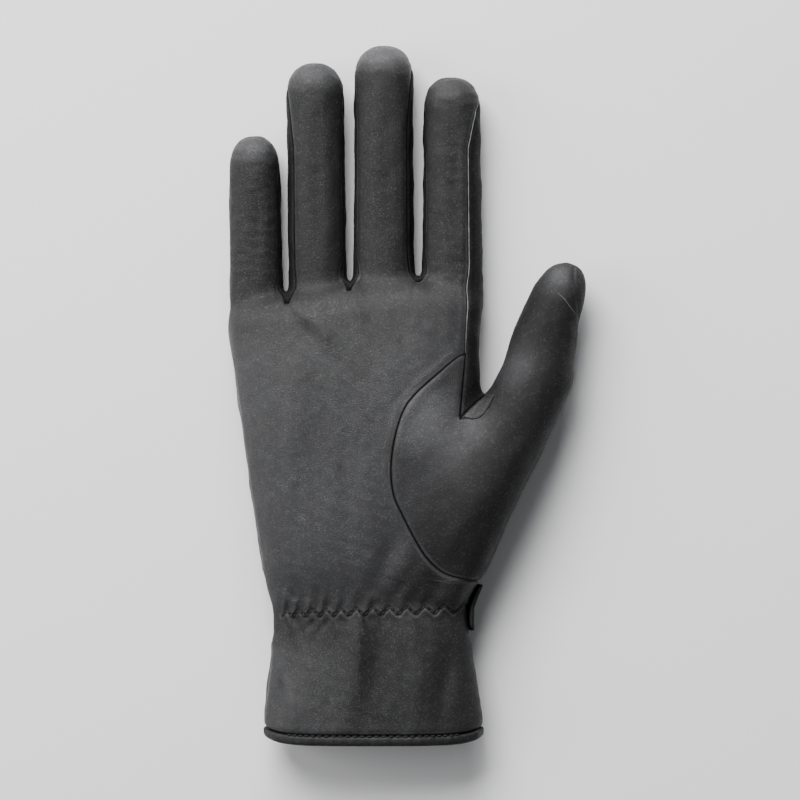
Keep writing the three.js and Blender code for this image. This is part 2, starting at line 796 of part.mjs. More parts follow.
function ballRows() {
  const rows = [];
  for (let step = 0; step <= ball_rows; step += 1) {
    const row = cuff_rows + step;
    const seam = palm_rows[row].at(-1);
    const back = back_rows[row].at(-1);
    const on = mix(ball_low, ball_high, (step / ball_rows) ** ball_spacing) * thumb_length;
    const edge = step === 0 ? seam : settle(thumbPlace(on, 0));
    const points = [];
    for (let column = 0; column <= thumb_columns; column += 1) {
      let place;
      if (column <= thumb_front_columns) {
        const turn = column / thumb_front_columns * Math.PI / 2;
        place = blendPoint(seam, edge, Math.sin(turn));
        place.z = mix(edge.z, seam.z, Math.cos(turn));
      } else {
        const turn = (column - thumb_front_columns) / thumb_back_columns * Math.PI / 2;
        place = blendPoint(back, edge, Math.cos(turn));
        place.z = mix(edge.z, back.z, Math.sin(turn));
      }
      points.push(settle(place));
    }
    points[0] = seam;
    points[thumb_columns] = back;
    rows.push(step === 0 ? points.map(() => seam) : points);
  }
  return rows;
}

const ball = ballRows();
const front_corner = ball[ball_rows][horn_columns];
const back_corner = ball[ball_rows][thumb_columns];

// Strip down the thumb side of the first finger to the thumb's web
function sideStripRows() {
  const rows = [];
  const face = front_fingers.at(-1);
  const back_face = back_fingers.at(-1);
  const finger = fingers.at(-1);
  for (let row = finger_rows + 1; row > 0; row -= 1) {
    const front = face[row][front_columns];
    const back = back_face[row][front_columns];
    rows.push(row > finger_rows ? Array(strip_columns + 2).fill(front) : roundSide(front, back, finger));
  }
  for (let row = hand_rows; row > cuff_rows + ball_rows; row -= 1) {
    const front = row >= cuff_rows + ball_rows + horn_rows ? palm_rows[row].at(-1) : hornEnd(row);
    rows.push(roundSide(front, back_rows[row].at(-1)));
  }
  const crotch = thumbCrotch();
  rows.push(roundSide(front_corner, back_corner, undefined, crotch));
  return rows;
}

// Points from a front seam round the side to a back seam
function roundSide(front, back, finger, side_point) {
  const points = [];
  const section = finger ? fingerSection(finger, front.y) : handSection(front.y);
  const side_x = section.middle + section.half_width;
  const side = side_point ?? settle(new THREE.Vector3(side_x, (front.y + back.y) / 2, section.level));
  const count = strip_columns + 1;
  for (let column = 0; column <= count; column += 1) {
    const turn = column / count * Math.PI;
    const from = turn < Math.PI / 2 ? front : back;
    const place = blendPoint(from, side, Math.sin(turn));
    place.z = mix(side.z, from.z, Math.abs(Math.cos(turn)));
    points.push(column === 0 ? front : column === count ? back : settle(place));
  }
  return points;
}

// Where the strip's front edge runs beside the ball of the thumb
function hornEnd(row) {
  const step = row - cuff_rows - ball_rows;
  const top = palm_rows[cuff_rows + ball_rows + horn_rows].at(-1);
  const place = blendPoint(front_corner, top, step / horn_rows);
  return settle(place);
}

function thumbCrotch() {
  const y = thumb_crotch_along * glove_length;
  const section = handSection(y);
  const x = section.middle + section.half_width + crotch_out;
  return settle(new THREE.Vector3(x, y + crotch_up, section.level));
}

const side_strip = sideStripRows();

function thumbPiece() {
  const piece = new Piece();
  piece.sheet(ball);
  const horn = [ball[ball_rows].slice(0, horn_columns + 1)];
  for (let step = 1; step <= horn_rows; step += 1) {
    const row = cuff_rows + ball_rows + step;
    const start = palm_rows[row].at(-1);
    const end = step === horn_rows ? start : hornEnd(row);
    const points = [];
    for (let column = 0; column <= horn_columns; column += 1) {
      const place = blendPoint(start, end, column / horn_columns);
      points.push(column === 0 ? start : column === horn_columns ? end : settle(place));
    }
    horn.push(step === horn_rows ? points.map(() => start) : points);
  }
  piece.sheet(horn);
  const web_edge = side_strip.at(-1).slice(1, -1).reverse();
  const ring = [...ball[ball_rows].slice(horn_columns), ...web_edge];
  const places = ring.map((point) => {
    const from_start = point.clone().sub(thumb_start);
    const on = from_start.dot(thumb_forward);
    const section = thumbSection(on);
    const side = (from_start.dot(thumb_sideways) - section.side) / section.half_width;
    return { on, turn: Math.atan2((point.z - section.level) / section.half_height, side) };
  });
  const turns = [];
  places.forEach((place, index) => {
    let turn = place.turn;
    if (index > 0) {
      while (turn > turns[index - 1]) turn -= 2 * Math.PI;
    }
    turns.push(turn);
  });
  const rings = [[...ring, ring[0]]];
  const cap_start = (1 - thumb_tip_share) * thumb_length;
  for (let row = 1; row <= thumb_rows + tip_rows; row += 1) {
    const points = places.map((place, index) => {
      const even = turns[0] - index / ring.length * 2 * Math.PI;
      const turn = mix(turns[index], even, soften(clamp(row / ring_evening_rows, 0, 1)));
      const round = (row - thumb_rows) / tip_rows * Math.PI / 2;
      const on = row <= thumb_rows
        ? mix(place.on, cap_start, row / thumb_rows)
        : cap_start + thumb_tip_share * thumb_length * Math.sin(round);
      return settle(thumbPlace(on, turn));
    });
    const last = row === thumb_rows + tip_rows;
    rings.push(last ? Array(ring.length + 1).fill(points[0]) : [...points, points[0]]);
  }
  piece.sheet(rings);
  return piece;
}

function stripPiece(rows) {
  const piece = new Piece();
  piece.sheet(rows);
  return piece;
}

// Rolled binding round the mouth of the cuff
function hemGeometry() {
  const section = [
    { on: 1.0, out: 0.9 }, { on: 0.35, out: 1.0 }, { on: 0.0, out: 0.62 },
    { on: 0.0, out: 0.38 }, { on: 0.35, out: 0.0 }, { on: 1.0, out: 0.1 },
  ];
  const points = [];
  const triangles = [];
  for (let column = 0; column < hem_columns; column += 1) {
    const turn = column / hem_columns * 2 * Math.PI;
    for (const corner of section) {
      const y = corner.on * (binding_depth - seam_gap / 2);
      const height = binding_proud - binding_thickness * (1 - corner.out);
      points.push(roundMouth(ringPlace(y, turn, height)));
    }
  }
  const corners = section.length;
  for (let column = 0; column < hem_columns; column += 1) {
    for (let corner = 0; corner < corners; corner += 1) {
      const next_corner = (corner + 1) % corners;
      const here = column * corners;
      const next = (column + 1) % hem_columns * corners;
      triangles.push(here + corner, next + corner, here + next_corner);
      triangles.push(here + next_corner, next + corner, next + next_corner);
    }
  }
  return solidGeometry(points, triangles);
}

// A place round the cuff by angle, at a height over the leather
function ringPlace(y, turn, height) {
  const section = handSection(y);
  const flat = section.half_width - section.half_height;
  const side = Math.cos(turn);
  const inner = new THREE.Vector3(section.middle + flat * side, y, section.level);
  const direction = new THREE.Vector3(Math.sign(side) * Math.abs(side), 0, Math.sin(turn));
  return reach(inner.clone().addScaledVector(direction, 3 * section.half_height), inner, height);
}

// End of the strap, from the thumb side of the wrist round onto the back
function strapGeometry() {
  const points = [];
  const triangles = [];
  const low = strap_along * glove_length - strap_width / 2;
  const count = (strap_columns + 1) * (strap_rows + 1);
  for (const height of [strap_clearance + strap_thickness, strap_clearance]) {
    for (let column = 0; column <= strap_columns; column += 1) {
      for (let row = 0; row <= strap_rows; row += 1) {
        const y = low + strap_width * row / strap_rows;
        const section = handSection(y);
        const far = section.half_width - section.half_height;
        const share = column / strap_columns;
        const end = Math.PI / 2 * section.half_height + strap_reach;
        const on = mix(-strap_wrap * section.half_height, end, share);
        const turn = Math.min(on / section.half_height, Math.PI / 2);
        const past = Math.max(0, on - Math.PI / 2 * section.half_height);
        const inner = new THREE.Vector3(section.middle + far - past, y, section.level);
        const direction = new THREE.Vector3(Math.cos(turn), 0, -Math.sin(turn));
        points.push(reach(inner.clone().addScaledVector(direction, 3 * section.half_height), inner, height));
      }
    }
  }
  const at = (side, column, row) => side * count + column * (strap_rows + 1) + row;
  for (let column = 0; column < strap_columns; column += 1) {
    for (let row = 0; row < strap_rows; row += 1) {
      const outer = [[0, 0], [1, 0], [1, 1], [0, 1]].map(([on, up]) => at(0, column + on, row + up));
      const inner = outer.map((index) => index + count);
      triangles.push(outer[0], outer[1], outer[2], outer[0], outer[2], outer[3]);
      triangles.push(inner[0], inner[2], inner[1], inner[0], inner[3], inner[2]);
    }
  }
  const rim = [];
  for (let column = 0; column < strap_columns; column += 1) rim.push(at(0, column, 0));
  for (let row = 0; row < strap_rows; row += 1) rim.push(at(0, strap_columns, row));
  for (let column = strap_columns; column > 0; column -= 1) rim.push(at(0, column, strap_rows));
  for (let row = strap_rows; row > 0; row -= 1) rim.push(at(0, 0, row));
  rim.forEach((from, index) => {
    const to = rim[(index + 1) % rim.length];
    triangles.push(to, from, from + count);
    triangles.push(to, from + count, to + count);
  });
  return solidGeometry(points, triangles);
}

// Assembly
const leather_colour = 0x343436;
const leather_roughness = 0.55;

const glove = new THREE.Group();
const geometries = {
  palm_panel: panelPiece(palm_rows, front_fingers).geometry(),
  back_panel: panelPiece(back_rows, back_fingers).geometry(),
  thumb: thumbPiece().geometry(),
  index_side_strip: stripPiece(side_strip).geometry(),
  hem_binding: hemGeometry(),
  wrist_tab: strapGeometry(),
};
webs.forEach((web, index) => {
  geometries[`fourchette_${web.name}`] = fourchettePiece(web, index).geometry();
});
const box = new THREE.Box3();
for (const geometry of Object.values(geometries)) {
  geometry.computeBoundingBox();
  box.union(geometry.boundingBox);
}
for (const [name, geometry] of Object.entries(geometries)) {
  const material = new THREE.MeshStandardMaterial({
    color: leather_colour,
    roughness: leather_roughness,
    metalness: 0,
  });
  const mesh = new THREE.Mesh(geometry, material);
  mesh.name = name;
  mesh.position.set(-(box.min.x + box.max.x) / 2, -(box.min.y + box.max.y) / 2, -box.min.z);
  glove.add(mesh);
}

export default glove;
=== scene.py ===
"""Riding glove for the right hand, lying on its back with the palm up, dressed in black leather."""

import math
from collections import Counter

import bpy
import numpy as np
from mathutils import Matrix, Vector, kdtree


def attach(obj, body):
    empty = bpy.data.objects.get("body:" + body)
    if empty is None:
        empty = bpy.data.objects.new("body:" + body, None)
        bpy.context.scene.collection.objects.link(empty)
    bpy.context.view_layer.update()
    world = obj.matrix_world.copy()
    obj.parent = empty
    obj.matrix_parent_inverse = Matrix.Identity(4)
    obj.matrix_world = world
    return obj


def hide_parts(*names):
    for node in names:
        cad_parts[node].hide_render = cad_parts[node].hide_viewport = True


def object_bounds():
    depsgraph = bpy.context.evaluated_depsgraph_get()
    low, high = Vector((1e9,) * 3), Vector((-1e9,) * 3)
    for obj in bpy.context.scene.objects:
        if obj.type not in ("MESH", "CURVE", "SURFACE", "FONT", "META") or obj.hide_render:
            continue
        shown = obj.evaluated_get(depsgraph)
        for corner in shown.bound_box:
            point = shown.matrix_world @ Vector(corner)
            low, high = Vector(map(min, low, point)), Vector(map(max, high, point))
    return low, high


bl_info = {
    "name": "Riding glove",
    "version": (1, 0, 0),
    "blender": (4, 5, 0),
    "location": "View3D > Sidebar > Glove",
    "description": "Builds a black leather riding glove piece by piece, with its seams and stitches",
    "category": "Object",
}

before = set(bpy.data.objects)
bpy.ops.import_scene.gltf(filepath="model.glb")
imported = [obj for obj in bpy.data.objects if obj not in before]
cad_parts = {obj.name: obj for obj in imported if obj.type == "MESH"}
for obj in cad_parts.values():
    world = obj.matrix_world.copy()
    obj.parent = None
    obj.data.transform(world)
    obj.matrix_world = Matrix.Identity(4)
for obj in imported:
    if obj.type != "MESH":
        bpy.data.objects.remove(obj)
CAD_BOX = [list(corner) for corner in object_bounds()]

# Sizes of the glove in millimetres
GLOVE_LENGTH = 240.0
HAND_WIDTH = 87.0
HAND_HEIGHT = 28.0
FINGER_WIDTH = 20.0
FINGER_HEIGHT = 17.5
THUMB_LENGTH = 119.4
THUMB_WIDTH = 25.0
THUMB_HEIGHT = 24.0
THUMB_LEAN = math.radians(20)
LEATHER = 1.2
SEAM_GAP = 0.3
SHOWN_GAP = 0.16
FLATTENING = 1.0
BINDING_DEPTH = 3.4
BINDING_PROUD = 0.5
BINDING_THICKNESS = 2.4
STRAP_WIDTH = 16.0
STRAP_THICKNESS = 1.5
STRAP_REACH = 26.0
STRAP_CLEARANCE = 0.7
STRAP_WRAP = 0.36
STRAP_CORNER = 2.2
STRAP_EDGE = 0.75
STRAP_SEAT_MARGIN = 1.0
STRAP_SEAT_SLOPE = 4.0
ELASTIC_PINCH = 1.1
ELASTIC_SPREAD = 8.0
WEB_WIDTH = 1.4
WEB_ROUNDING = 13.0
WEB_EDGE_LIFT = 0.6
ROOT_LENGTH = 8.0
ROOT_ROUNDING = 16.0
THUMB_ROOT_ROUNDING = 9.0
HAND_BLEND = 3.2
THUMB_BLEND = 11.0
THUMB_BLEND_AT_WRIST = 3.0
THUMB_BLEND_REACH = 30.0
NOTCH = (27.5, 124.0)
NOTCH_REACH = 13.0
NOTCH_SHARPNESS = 0.6
CROTCH_OUT = 2.0
CROTCH_UP = 4.0
MOUTH_CORNER_LIFT = 2.2
MOUTH_CORNER_REACH = 25.0
FLOOR_BLEND = 1.2

# Places along the glove, as shares of its length
ELASTIC_ALONG = 0.190
STRAP_ALONG = 0.1935
THUMB_SEAM_LOW = 0.2295
THUMB_CROTCH_ALONG = 0.482
HORN_ALONG = 0.5581
ROOT_LINE_LEFT = 0.631
ROOT_LINE_RIGHT = 0.684
BACK_STRIP = 0.12

# Roundness of the sections: 2 is an ellipse, more is fuller
HAND_FULLNESS = 2.5
FINGER_FULLNESS = 2.2
TIP_FULLNESS = 2.35
SIDE_SEAM_RISE = math.radians(10)

# Rows of the pattern by zone, and how finely each zone is cut for show
CUFF, BALL, HORN, KNUCKLE, FINGER, TIP = 11, 11, 3, 5, 8, 4
HAND_ROWS = CUFF + BALL + HORN + KNUCKLE
FINE = 5
ELASTIC_ROWS = (8.2, 9.8, 26)
FINGER_COLUMNS = 34
STRIP_COLUMNS = 20
THUMB_FRONT = 56
THUMB_BACK = 40
HORN_COLUMNS = 16
THUMB_RINGS = 8

# Hand and cuff: along, left and right in hand widths, height in hand heights
HAND_SECTIONS = np.array([
    (0.000, -0.552, 0.303, 0.93), (0.033, -0.558, 0.305, 0.92), (0.076, -0.546, 0.289, 0.90),
    (0.133, -0.531, 0.268, 0.87), (0.190, -0.545, 0.268, 0.86), (0.219, -0.559, 0.280, 0.88),
    (0.262, -0.570, 0.290, 0.94), (0.349, -0.606, 0.297, 1.00), (0.420, -0.633, 0.297, 1.01),
    (0.492, -0.661, 0.297, 0.99), (0.564, -0.685, 0.293, 0.93), (0.636, -0.697, 0.297, 0.84),
    (ROOT_LINE_RIGHT, -0.699, 0.305, 0.76),
])

# Fingers: root and tip across in hand widths, reach in glove lengths, widths and tip length in
# finger widths, height in finger heights, and how far in the front seams lie in half widths
FINGERS = [
    dict(root=-0.590, tip=-0.600, reach=0.871, wide=(0.93, 0.86), height=0.92, end=0.62,
         left=0, right=0.10),
    dict(root=-0.348, tip=-0.358, reach=0.975, wide=(1.00, 1.00), height=1.00, end=0.64,
         left=0.24, right=0.08),
    dict(root=-0.084, tip=-0.085, reach=1.000, wide=(1.05, 1.01), height=1.02, end=0.60,
         left=0.08, right=0.22),
    dict(root=0.188, tip=0.186, reach=0.955, wide=(1.05, 0.96), height=1.00, end=0.58,
         left=0.08, right=0.46),
]

# Webs between the fingers: across in hand widths, end of the slit and web in glove lengths
WEBS = [(-0.466, 0.634, 0.650), (-0.2216, 0.653, 0.661), (0.0514, 0.666, 0.671)]

# Thumb: along in thumb lengths, side and width in thumb widths, height and level in thumb heights
THUMB_ROOT = (0.182, 0.2195)
THUMB_TIP_SHARE = 0.136
THUMB_SECTIONS = np.array([
    (0.000, -0.010, 0.61, 0.85, 0.52), (0.120, -0.036, 0.83, 1.04, 0.54), (0.250, -0.073, 0.99, 1.15, 0.57),
    (0.375, -0.041, 1.05, 1.16, 0.58), (0.500, 0.017, 1.05, 1.08, 0.55), (0.613, 0.087, 1.00, 0.98, 0.52),
    (0.675, 0.102, 0.99, 0.94, 0.51), (0.735, 0.063, 0.94, 0.90, 0.50), (0.800, 0.026, 0.85, 0.86, 0.49),
    (0.862, 0.010, 0.76, 0.81, 0.48), (1.000, 0.030, 0.72, 0.75, 0.47),
])

# Seams of the thumb: along in glove lengths, across in hand widths
PALM_SEAM = np.array([
    (THUMB_SEAM_LOW, 0.300), (0.2453, 0.150), (0.2654, 0.087), (0.2970, 0.032), (0.3257, -0.008),
    (0.3543, -0.043), (0.3917, -0.055), (0.4376, -0.040), (0.4777, -0.004), (0.4964, 0.032),
    (0.5179, 0.095), (0.5365, 0.158), (HORN_ALONG, 0.2515),
])
BACK_SEAM = np.array([
    (THUMB_SEAM_LOW, 0.300), (0.2600, 0.262), (0.3300, 0.232), (0.4200, 0.225),
    (THUMB_CROTCH_ALONG, 0.240), (HORN_ALONG, 0.262), (ROOT_LINE_RIGHT, 0.270),
])

# Where fingers and thumb are reckoned at all, and how closely places are brought to the leather
FAR_AWAY = 60.0
FINGER_ZONE = (22.0, 30.0)
THUMB_ZONE = (-32.0, 20.0, 190.0)
CLOSE_ENOUGH = 1e-4
REACH_TURNS = 60
REACH_STRIDE = 0.85

# Soft folds and dents: across in hand widths, along, turn in degrees, long and wide in glove
# lengths, rise in leather walls
FOLDS = [
    (-0.183, 0.122, 0, 0.060, 0.016, 1.0), (-0.090, 0.120, 0, 0.060, 0.020, -0.9),
    (-0.380, 0.080, -6, 0.065, 0.026, 0.8), (-0.480, 0.075, 18, 0.055, 0.012, -0.6),
    (0.060, 0.085, 4, 0.060, 0.020, 0.6), (0.170, 0.110, 8, 0.050, 0.014, -0.6),
    (-0.340, 0.596, -42, 0.036, 0.011, 0.7), (-0.385, 0.586, -38, 0.034, 0.010, -0.6),
    (-0.190, 0.624, -24, 0.030, 0.009, 0.6), (-0.300, 0.420, 10, 0.110, 0.060, -1.2),
    (-0.060, 0.270, 24, 0.050, 0.014, -0.6), (0.200, 0.300, 30, 0.050, 0.016, 0.5),
]


# Sums on arrays of places
def mix(start, end, share):
    return start + (end - start) * share


def soften(share):
    share = np.clip(share, 0, 1)
    return share * share * (3 - 2 * share)


def signed_power(value, power):
    return np.sign(value) * np.abs(value) ** power


def places(x, y, z):
    return np.stack(np.broadcast_arrays(x, y, z), axis=-1).astype(float)


def crowd(share, amount=0.5):
    """Shares drawn towards both ends, where the seams are."""
    return mix(share, 0.5 - 0.5 * np.cos(np.pi * share), amount)


def through(table, column, along):
    """Smooth curve through one column of a table by its first column."""
    knots = table[:, 0]
    values = table[:, column]
    last = len(knots) - 1
    before = np.maximum(np.arange(last + 1) - 1, 0)
    after = np.minimum(np.arange(last + 1) + 1, last)
    slopes = (values[after] - values[before]) / (knots[after] - knots[before])
    at = np.clip(along, knots[0], knots[last])
    low = np.clip(np.searchsorted(knots, at) - 1, 0, last - 1)
    span = knots[low + 1] - knots[low]
    share = (at - knots[low]) / span
    rise = values[low + 1] - values[low]
    leave = slopes[low] * span
    arrive = slopes[low + 1] * span
    bend = 3 * rise - 2 * leave - arrive
    return values[low] + share * (leave + share * (bend + share * (leave + arrive - 2 * rise)))


def join_soft(first, second, width):
    near = np.maximum(width - np.abs(first - second), 0) / width
    return np.minimum(first, second) - near * near * width / 4


def cut_soft(first, second, width):
    return -join_soft(-first, -second, width)


def tube(side, up, over, half_width, half_height, cap, fullness):
    """Near distance from a tube with a round end."""
    u = np.abs(side) / half_width
    v = np.abs(up) / half_height
    w = np.maximum(over, 0)
    ring = np.maximum((u ** fullness + v ** fullness) ** (1 / fullness), 1e-7)
    whole = (ring ** TIP_FULLNESS + w ** TIP_FULLNESS) ** (1 / TIP_FULLNESS)
    share = (ring / whole) ** (TIP_FULLNESS - 1)
    slope_side = share * (u / ring) ** (fullness - 1) / half_width
    slope_up = share * (v / ring) ** (fullness - 1) / half_height
    slope_on = (w / whole) ** (TIP_FULLNESS - 1) / cap
    slope = np.sqrt(slope_side ** 2 + slope_up ** 2 + slope_on ** 2)
    return np.where(ring < 1e-6, (whole - 1) * half_height, (whole - 1) / np.maximum(slope, 1e-6))


def round_end(over):
    """Share of a section's size that is left in a round end, by how far it lies in it."""
    return (1 - np.clip(over, 0, 1) ** TIP_FULLNESS) ** (1 / TIP_FULLNESS)


def chosen():
    """Sizes and colours that are set in the panel."""
    return bpy.context.scene.glove_looks


# The outside of the glove
def hand_section(y):
    """Middle line, half width, half height and level of the hand and cuff."""
    along = y / GLOVE_LENGTH
    left = through(HAND_SECTIONS, 1, along) * HAND_WIDTH
    right = through(HAND_SECTIONS, 2, along) * HAND_WIDTH
    half_height = through(HAND_SECTIONS, 3, along) * HAND_HEIGHT / 2
    return (left + right) / 2, (right - left) / 2, half_height, half_height - FLATTENING


WEB_LINE = np.array([(web[0] * HAND_WIDTH, web[2] * GLOVE_LENGTH) for web in WEBS])
ROOT_LINE = np.array(
    [(HAND_SECTIONS[-1][1] * HAND_WIDTH, ROOT_LINE_LEFT * GLOVE_LENGTH)]
    + [(web[0] * HAND_WIDTH, web[1] * GLOVE_LENGTH) for web in WEBS]
    + [(HAND_SECTIONS[-1][2] * HAND_WIDTH, ROOT_LINE_RIGHT * GLOVE_LENGTH)]
)


def root_y(x):
    """Where the fingers begin."""
    return np.interp(x, ROOT_LINE[:, 0], ROOT_LINE[:, 1])


def hand_distance(p):
    middle, half_width, half_height, level = hand_section(p[:, 1])
    end = np.interp(p[:, 0], WEB_LINE[:, 0], WEB_LINE[:, 1]) - WEB_ROUNDING
    over = (p[:, 1] - end) / WEB_ROUNDING
    return tube(p[:, 0] - middle, p[:, 2] - level, over, half_width, half_height, WEB_ROUNDING,
                HAND_FULLNESS)


def finger_section(finger, y):
    """Middle line, half width, half height, level and tip of a finger, and how far y is into a cap."""
    tip = finger["reach"] * GLOVE_LENGTH
    root = root_y(finger["root"] * HAND_WIDTH)
    share = np.clip((y - root) / (tip - root), 0, 1)
    cap = finger["end"] * FINGER_WIDTH
    half_height = finger["height"] * FINGER_HEIGHT / 2
    middle = mix(finger["root"], finger["tip"], share) * HAND_WIDTH
    half_width = mix(finger["wide"][0], finger["wide"][1], share) * FINGER_WIDTH / 2
    over = np.maximum((y - tip + cap) / cap, (root - ROOT_LENGTH - y) / ROOT_ROUNDING)
    return middle, half_width, half_height, half_height - FLATTENING, cap, over


def finger_distance(finger, p):
    middle, half_width, half_height, level, cap, over = finger_section(finger, p[:, 1])
    return tube(p[:, 0] - middle, p[:, 2] - level, over, half_width, half_height, cap, FINGER_FULLNESS)


THUMB_START = np.array([THUMB_ROOT[0] * HAND_WIDTH, THUMB_ROOT[1] * GLOVE_LENGTH, 0])
THUMB_FORWARD = np.array([math.sin(THUMB_LEAN), math.cos(THUMB_LEAN), 0])
THUMB_SIDEWAYS = np.array([math.cos(THUMB_LEAN), -math.sin(THUMB_LEAN), 0])


def thumb_section(on):
    """The same for the thumb, by the distance on along its axis; the middle is to its own side."""
    along = np.clip(on / THUMB_LENGTH, 0, 1)
    cap = THUMB_TIP_SHARE * THUMB_LENGTH
    side = through(THUMB_SECTIONS, 1, along) * THUMB_WIDTH
    half_width = through(THUMB_SECTIONS, 2, along) * THUMB_WIDTH / 2
    half_height = through(THUMB_SECTIONS, 3, along) * THUMB_HEIGHT / 2
    level = through(THUMB_SECTIONS, 4, along) * THUMB_HEIGHT
    over = np.maximum((on - THUMB_LENGTH + cap) / cap, -on / THUMB_ROOT_ROUNDING)
    return side, half_width, half_height, level, cap, over


def thumb_distance(p):
    from_start = p - THUMB_START
    side, half_width, half_height, level, cap, over = thumb_section(from_start @ THUMB_FORWARD)
    return tube(from_start @ THUMB_SIDEWAYS - side, p[:, 2] - level, over, half_width, half_height, cap,
                FINGER_FULLNESS)


def relief(p):
    """Height of the folds, the pinch of the elastic and the strap's seat."""
    middle, half_width, half_height, level = hand_section(p[:, 1])
    front = soften((p[:, 2] - level) / half_height + 0.5)
    rise = np.zeros(len(p))
    for across, along, turn, long, wide, height in FOLDS:
        turn = math.radians(turn)
        dx = p[:, 0] - across * HAND_WIDTH
        dy = p[:, 1] - along * GLOVE_LENGTH
        on = (dx * math.sin(turn) + dy * math.cos(turn)) / (long * GLOVE_LENGTH)
        off = (dx * math.cos(turn) - dy * math.sin(turn)) / (wide * GLOVE_LENGTH)
        rise += height * LEATHER * np.exp(-on * on - off * off) * front
    from_elastic = (p[:, 1] - ELASTIC_ALONG * GLOVE_LENGTH) / ELASTIC_SPREAD
    rise -= ELASTIC_PINCH * np.exp(-from_elastic ** 2)
    from_strap = np.abs(p[:, 1] - STRAP_ALONG * GLOVE_LENGTH) - STRAP_WIDTH / 2 - STRAP_SEAT_MARGIN
    seat = STRAP_THICKNESS + STRAP_CLEARANCE + SEAM_GAP
    return rise - seat * soften(1 - from_strap / STRAP_SEAT_SLOPE) * (1 - front)


def glove_distance(p):
    """About how far places lie outside the glove; less than nothing is inside it."""
    nearest = np.full(len(p), FAR_AWAY)
    for finger in FINGERS:
        beside = np.abs(p[:, 0] - finger["root"] * HAND_WIDTH) < FINGER_ZONE[0]
        near = beside & (p[:, 1] > root_y(finger["root"] * HAND_WIDTH) - FINGER_ZONE[1])
        if near.any():
            nearest[near] = np.minimum(nearest[near], finger_distance(finger, p[near]))
    body = join_soft(hand_distance(p), nearest, HAND_BLEND)
    near = (p[:, 0] > THUMB_ZONE[0]) & (p[:, 1] > THUMB_ZONE[1]) & (p[:, 1] < THUMB_ZONE[2])
    if near.any():
        from_wrist = (p[near, 1] - THUMB_START[1]) / THUMB_BLEND_REACH
        blend = mix(THUMB_BLEND_AT_WRIST, THUMB_BLEND, soften(from_wrist))
        from_notch = np.linalg.norm(p[near, :2] - NOTCH, axis=1) / NOTCH_REACH
        blend *= 1 - NOTCH_SHARPNESS * np.exp(-from_notch ** 2)
        body[near] = join_soft(body[near], thumb_distance(p[near]), blend)
    return cut_soft(body - relief(p), -p[:, 2], FLOOR_BLEND)


def gradient(p):
    """Slope of the distance at each place, which points out of the glove."""
    step = 0.02
    corners = np.array([(1, -1, -1), (-1, -1, 1), (-1, 1, -1), (1, 1, 1)], float)
    stacked = (p[None] + step * corners[:, None]).reshape(-1, 3)
    values = glove_distance(stacked).reshape(4, -1)
    return np.einsum("kn,kc->nc", values, corners) / (4 * step)


def outward(p):
    """Unit directions straight out of the leather."""
    slope = gradient(p.reshape(-1, 3))
    return (slope / np.linalg.norm(slope, axis=1)[:, None]).reshape(p.shape)


def settle(grid, height=0.0, turns=12):
    """Moves places onto the leather."""
    p = grid.reshape(-1, 3).copy()
    for _ in range(turns):
        away = glove_distance(p) - height
        live = np.abs(away) > CLOSE_ENOUGH
        if not live.any():
            break
        slope = gradient(p[live])
        step = np.clip(away[live] / (slope ** 2).sum(1), -2, 2)
        p[live] -= slope * step[:, None]
    p[:, 2] = np.maximum(p[:, 2], 0)
    return p.reshape(grid.shape)


def reach(outer, inner, height=0.0):
    """Finds the leather on the lines from outer places towards inner ones."""
    shape = outer.shape
    start = outer.reshape(-1, 3)
    toward = inner.reshape(-1, 3) - start
    length = np.linalg.norm(toward, axis=1)
    height = np.broadcast_to(height, shape[:-1]).reshape(-1)
    share = np.zeros(len(start))
    live = np.arange(len(start))
    for _ in range(REACH_TURNS):
        away = glove_distance(start[live] + toward[live] * share[live, None]) - height[live]
        share[live] = np.clip(share[live] + REACH_STRIDE * away / length[live], 0, 1)
        live = live[np.abs(away) > 2 * CLOSE_ENOUGH]
        if len(live) == 0:
            break
    p = start + toward * share[:, None]
    p[:, 2] = np.maximum(p[:, 2], 0)
    return p.reshape(shape)


def from_above(x, y):
    """Places on the front of the hand or cuff, seen from straight above."""
    _, _, half_height, level = hand_section(y)
    return reach(places(x, y, level + 4 * half_height), places(x, y, level))


# Places round the hand
def hand_place(y, arc, front):
    """Places on the hand by how far they lie round it from its middle line."""
    middle, half_width, radius, level = hand_section(y)
    flat = half_width - radius
    turn = np.clip((np.abs(arc) - flat) / radius, 0, math.pi / 2)
    up = 1 if front else -1
    direction = places(np.sign(arc) * np.sin(turn), 0, up * np.cos(turn))
    inner = places(middle + np.sign(arc) * np.minimum(np.abs(arc), flat), y, level)
    return reach(inner + direction * (3 * radius)[..., None], inner)


def round_mouth(grid):
    """Lifts the side corners of the cuff's mouth."""
    middle, half_width, _, _ = hand_section(grid[..., 1])
    off = np.minimum(np.abs(grid[..., 0] - middle) / half_width, 1)
    fade = 1 - soften(grid[..., 1] / MOUTH_CORNER_REACH)
    grid = grid.copy()
    grid[..., 1] += MOUTH_CORNER_LIFT * off ** 8 * fade
    return grid


def arc_of_x(y, x):
    """How far round the hand a place lies that is seen at x."""
    middle, half_width, radius, _ = hand_section(y)
    flat = half_width - radius
    off = x - middle
    turn = np.arcsin(np.clip((np.abs(off) - flat) / radius, 0, 1))
    return np.where(np.abs(off) <= flat, off, np.sign(off) * (flat + radius * turn))


def side_arc(y, rise):
    """How far round the hand its side lies, at an angle above the middle of its height."""
    _, half_width, radius, _ = hand_section(y)
    return half_width - radius + radius * (math.pi / 2 - rise)


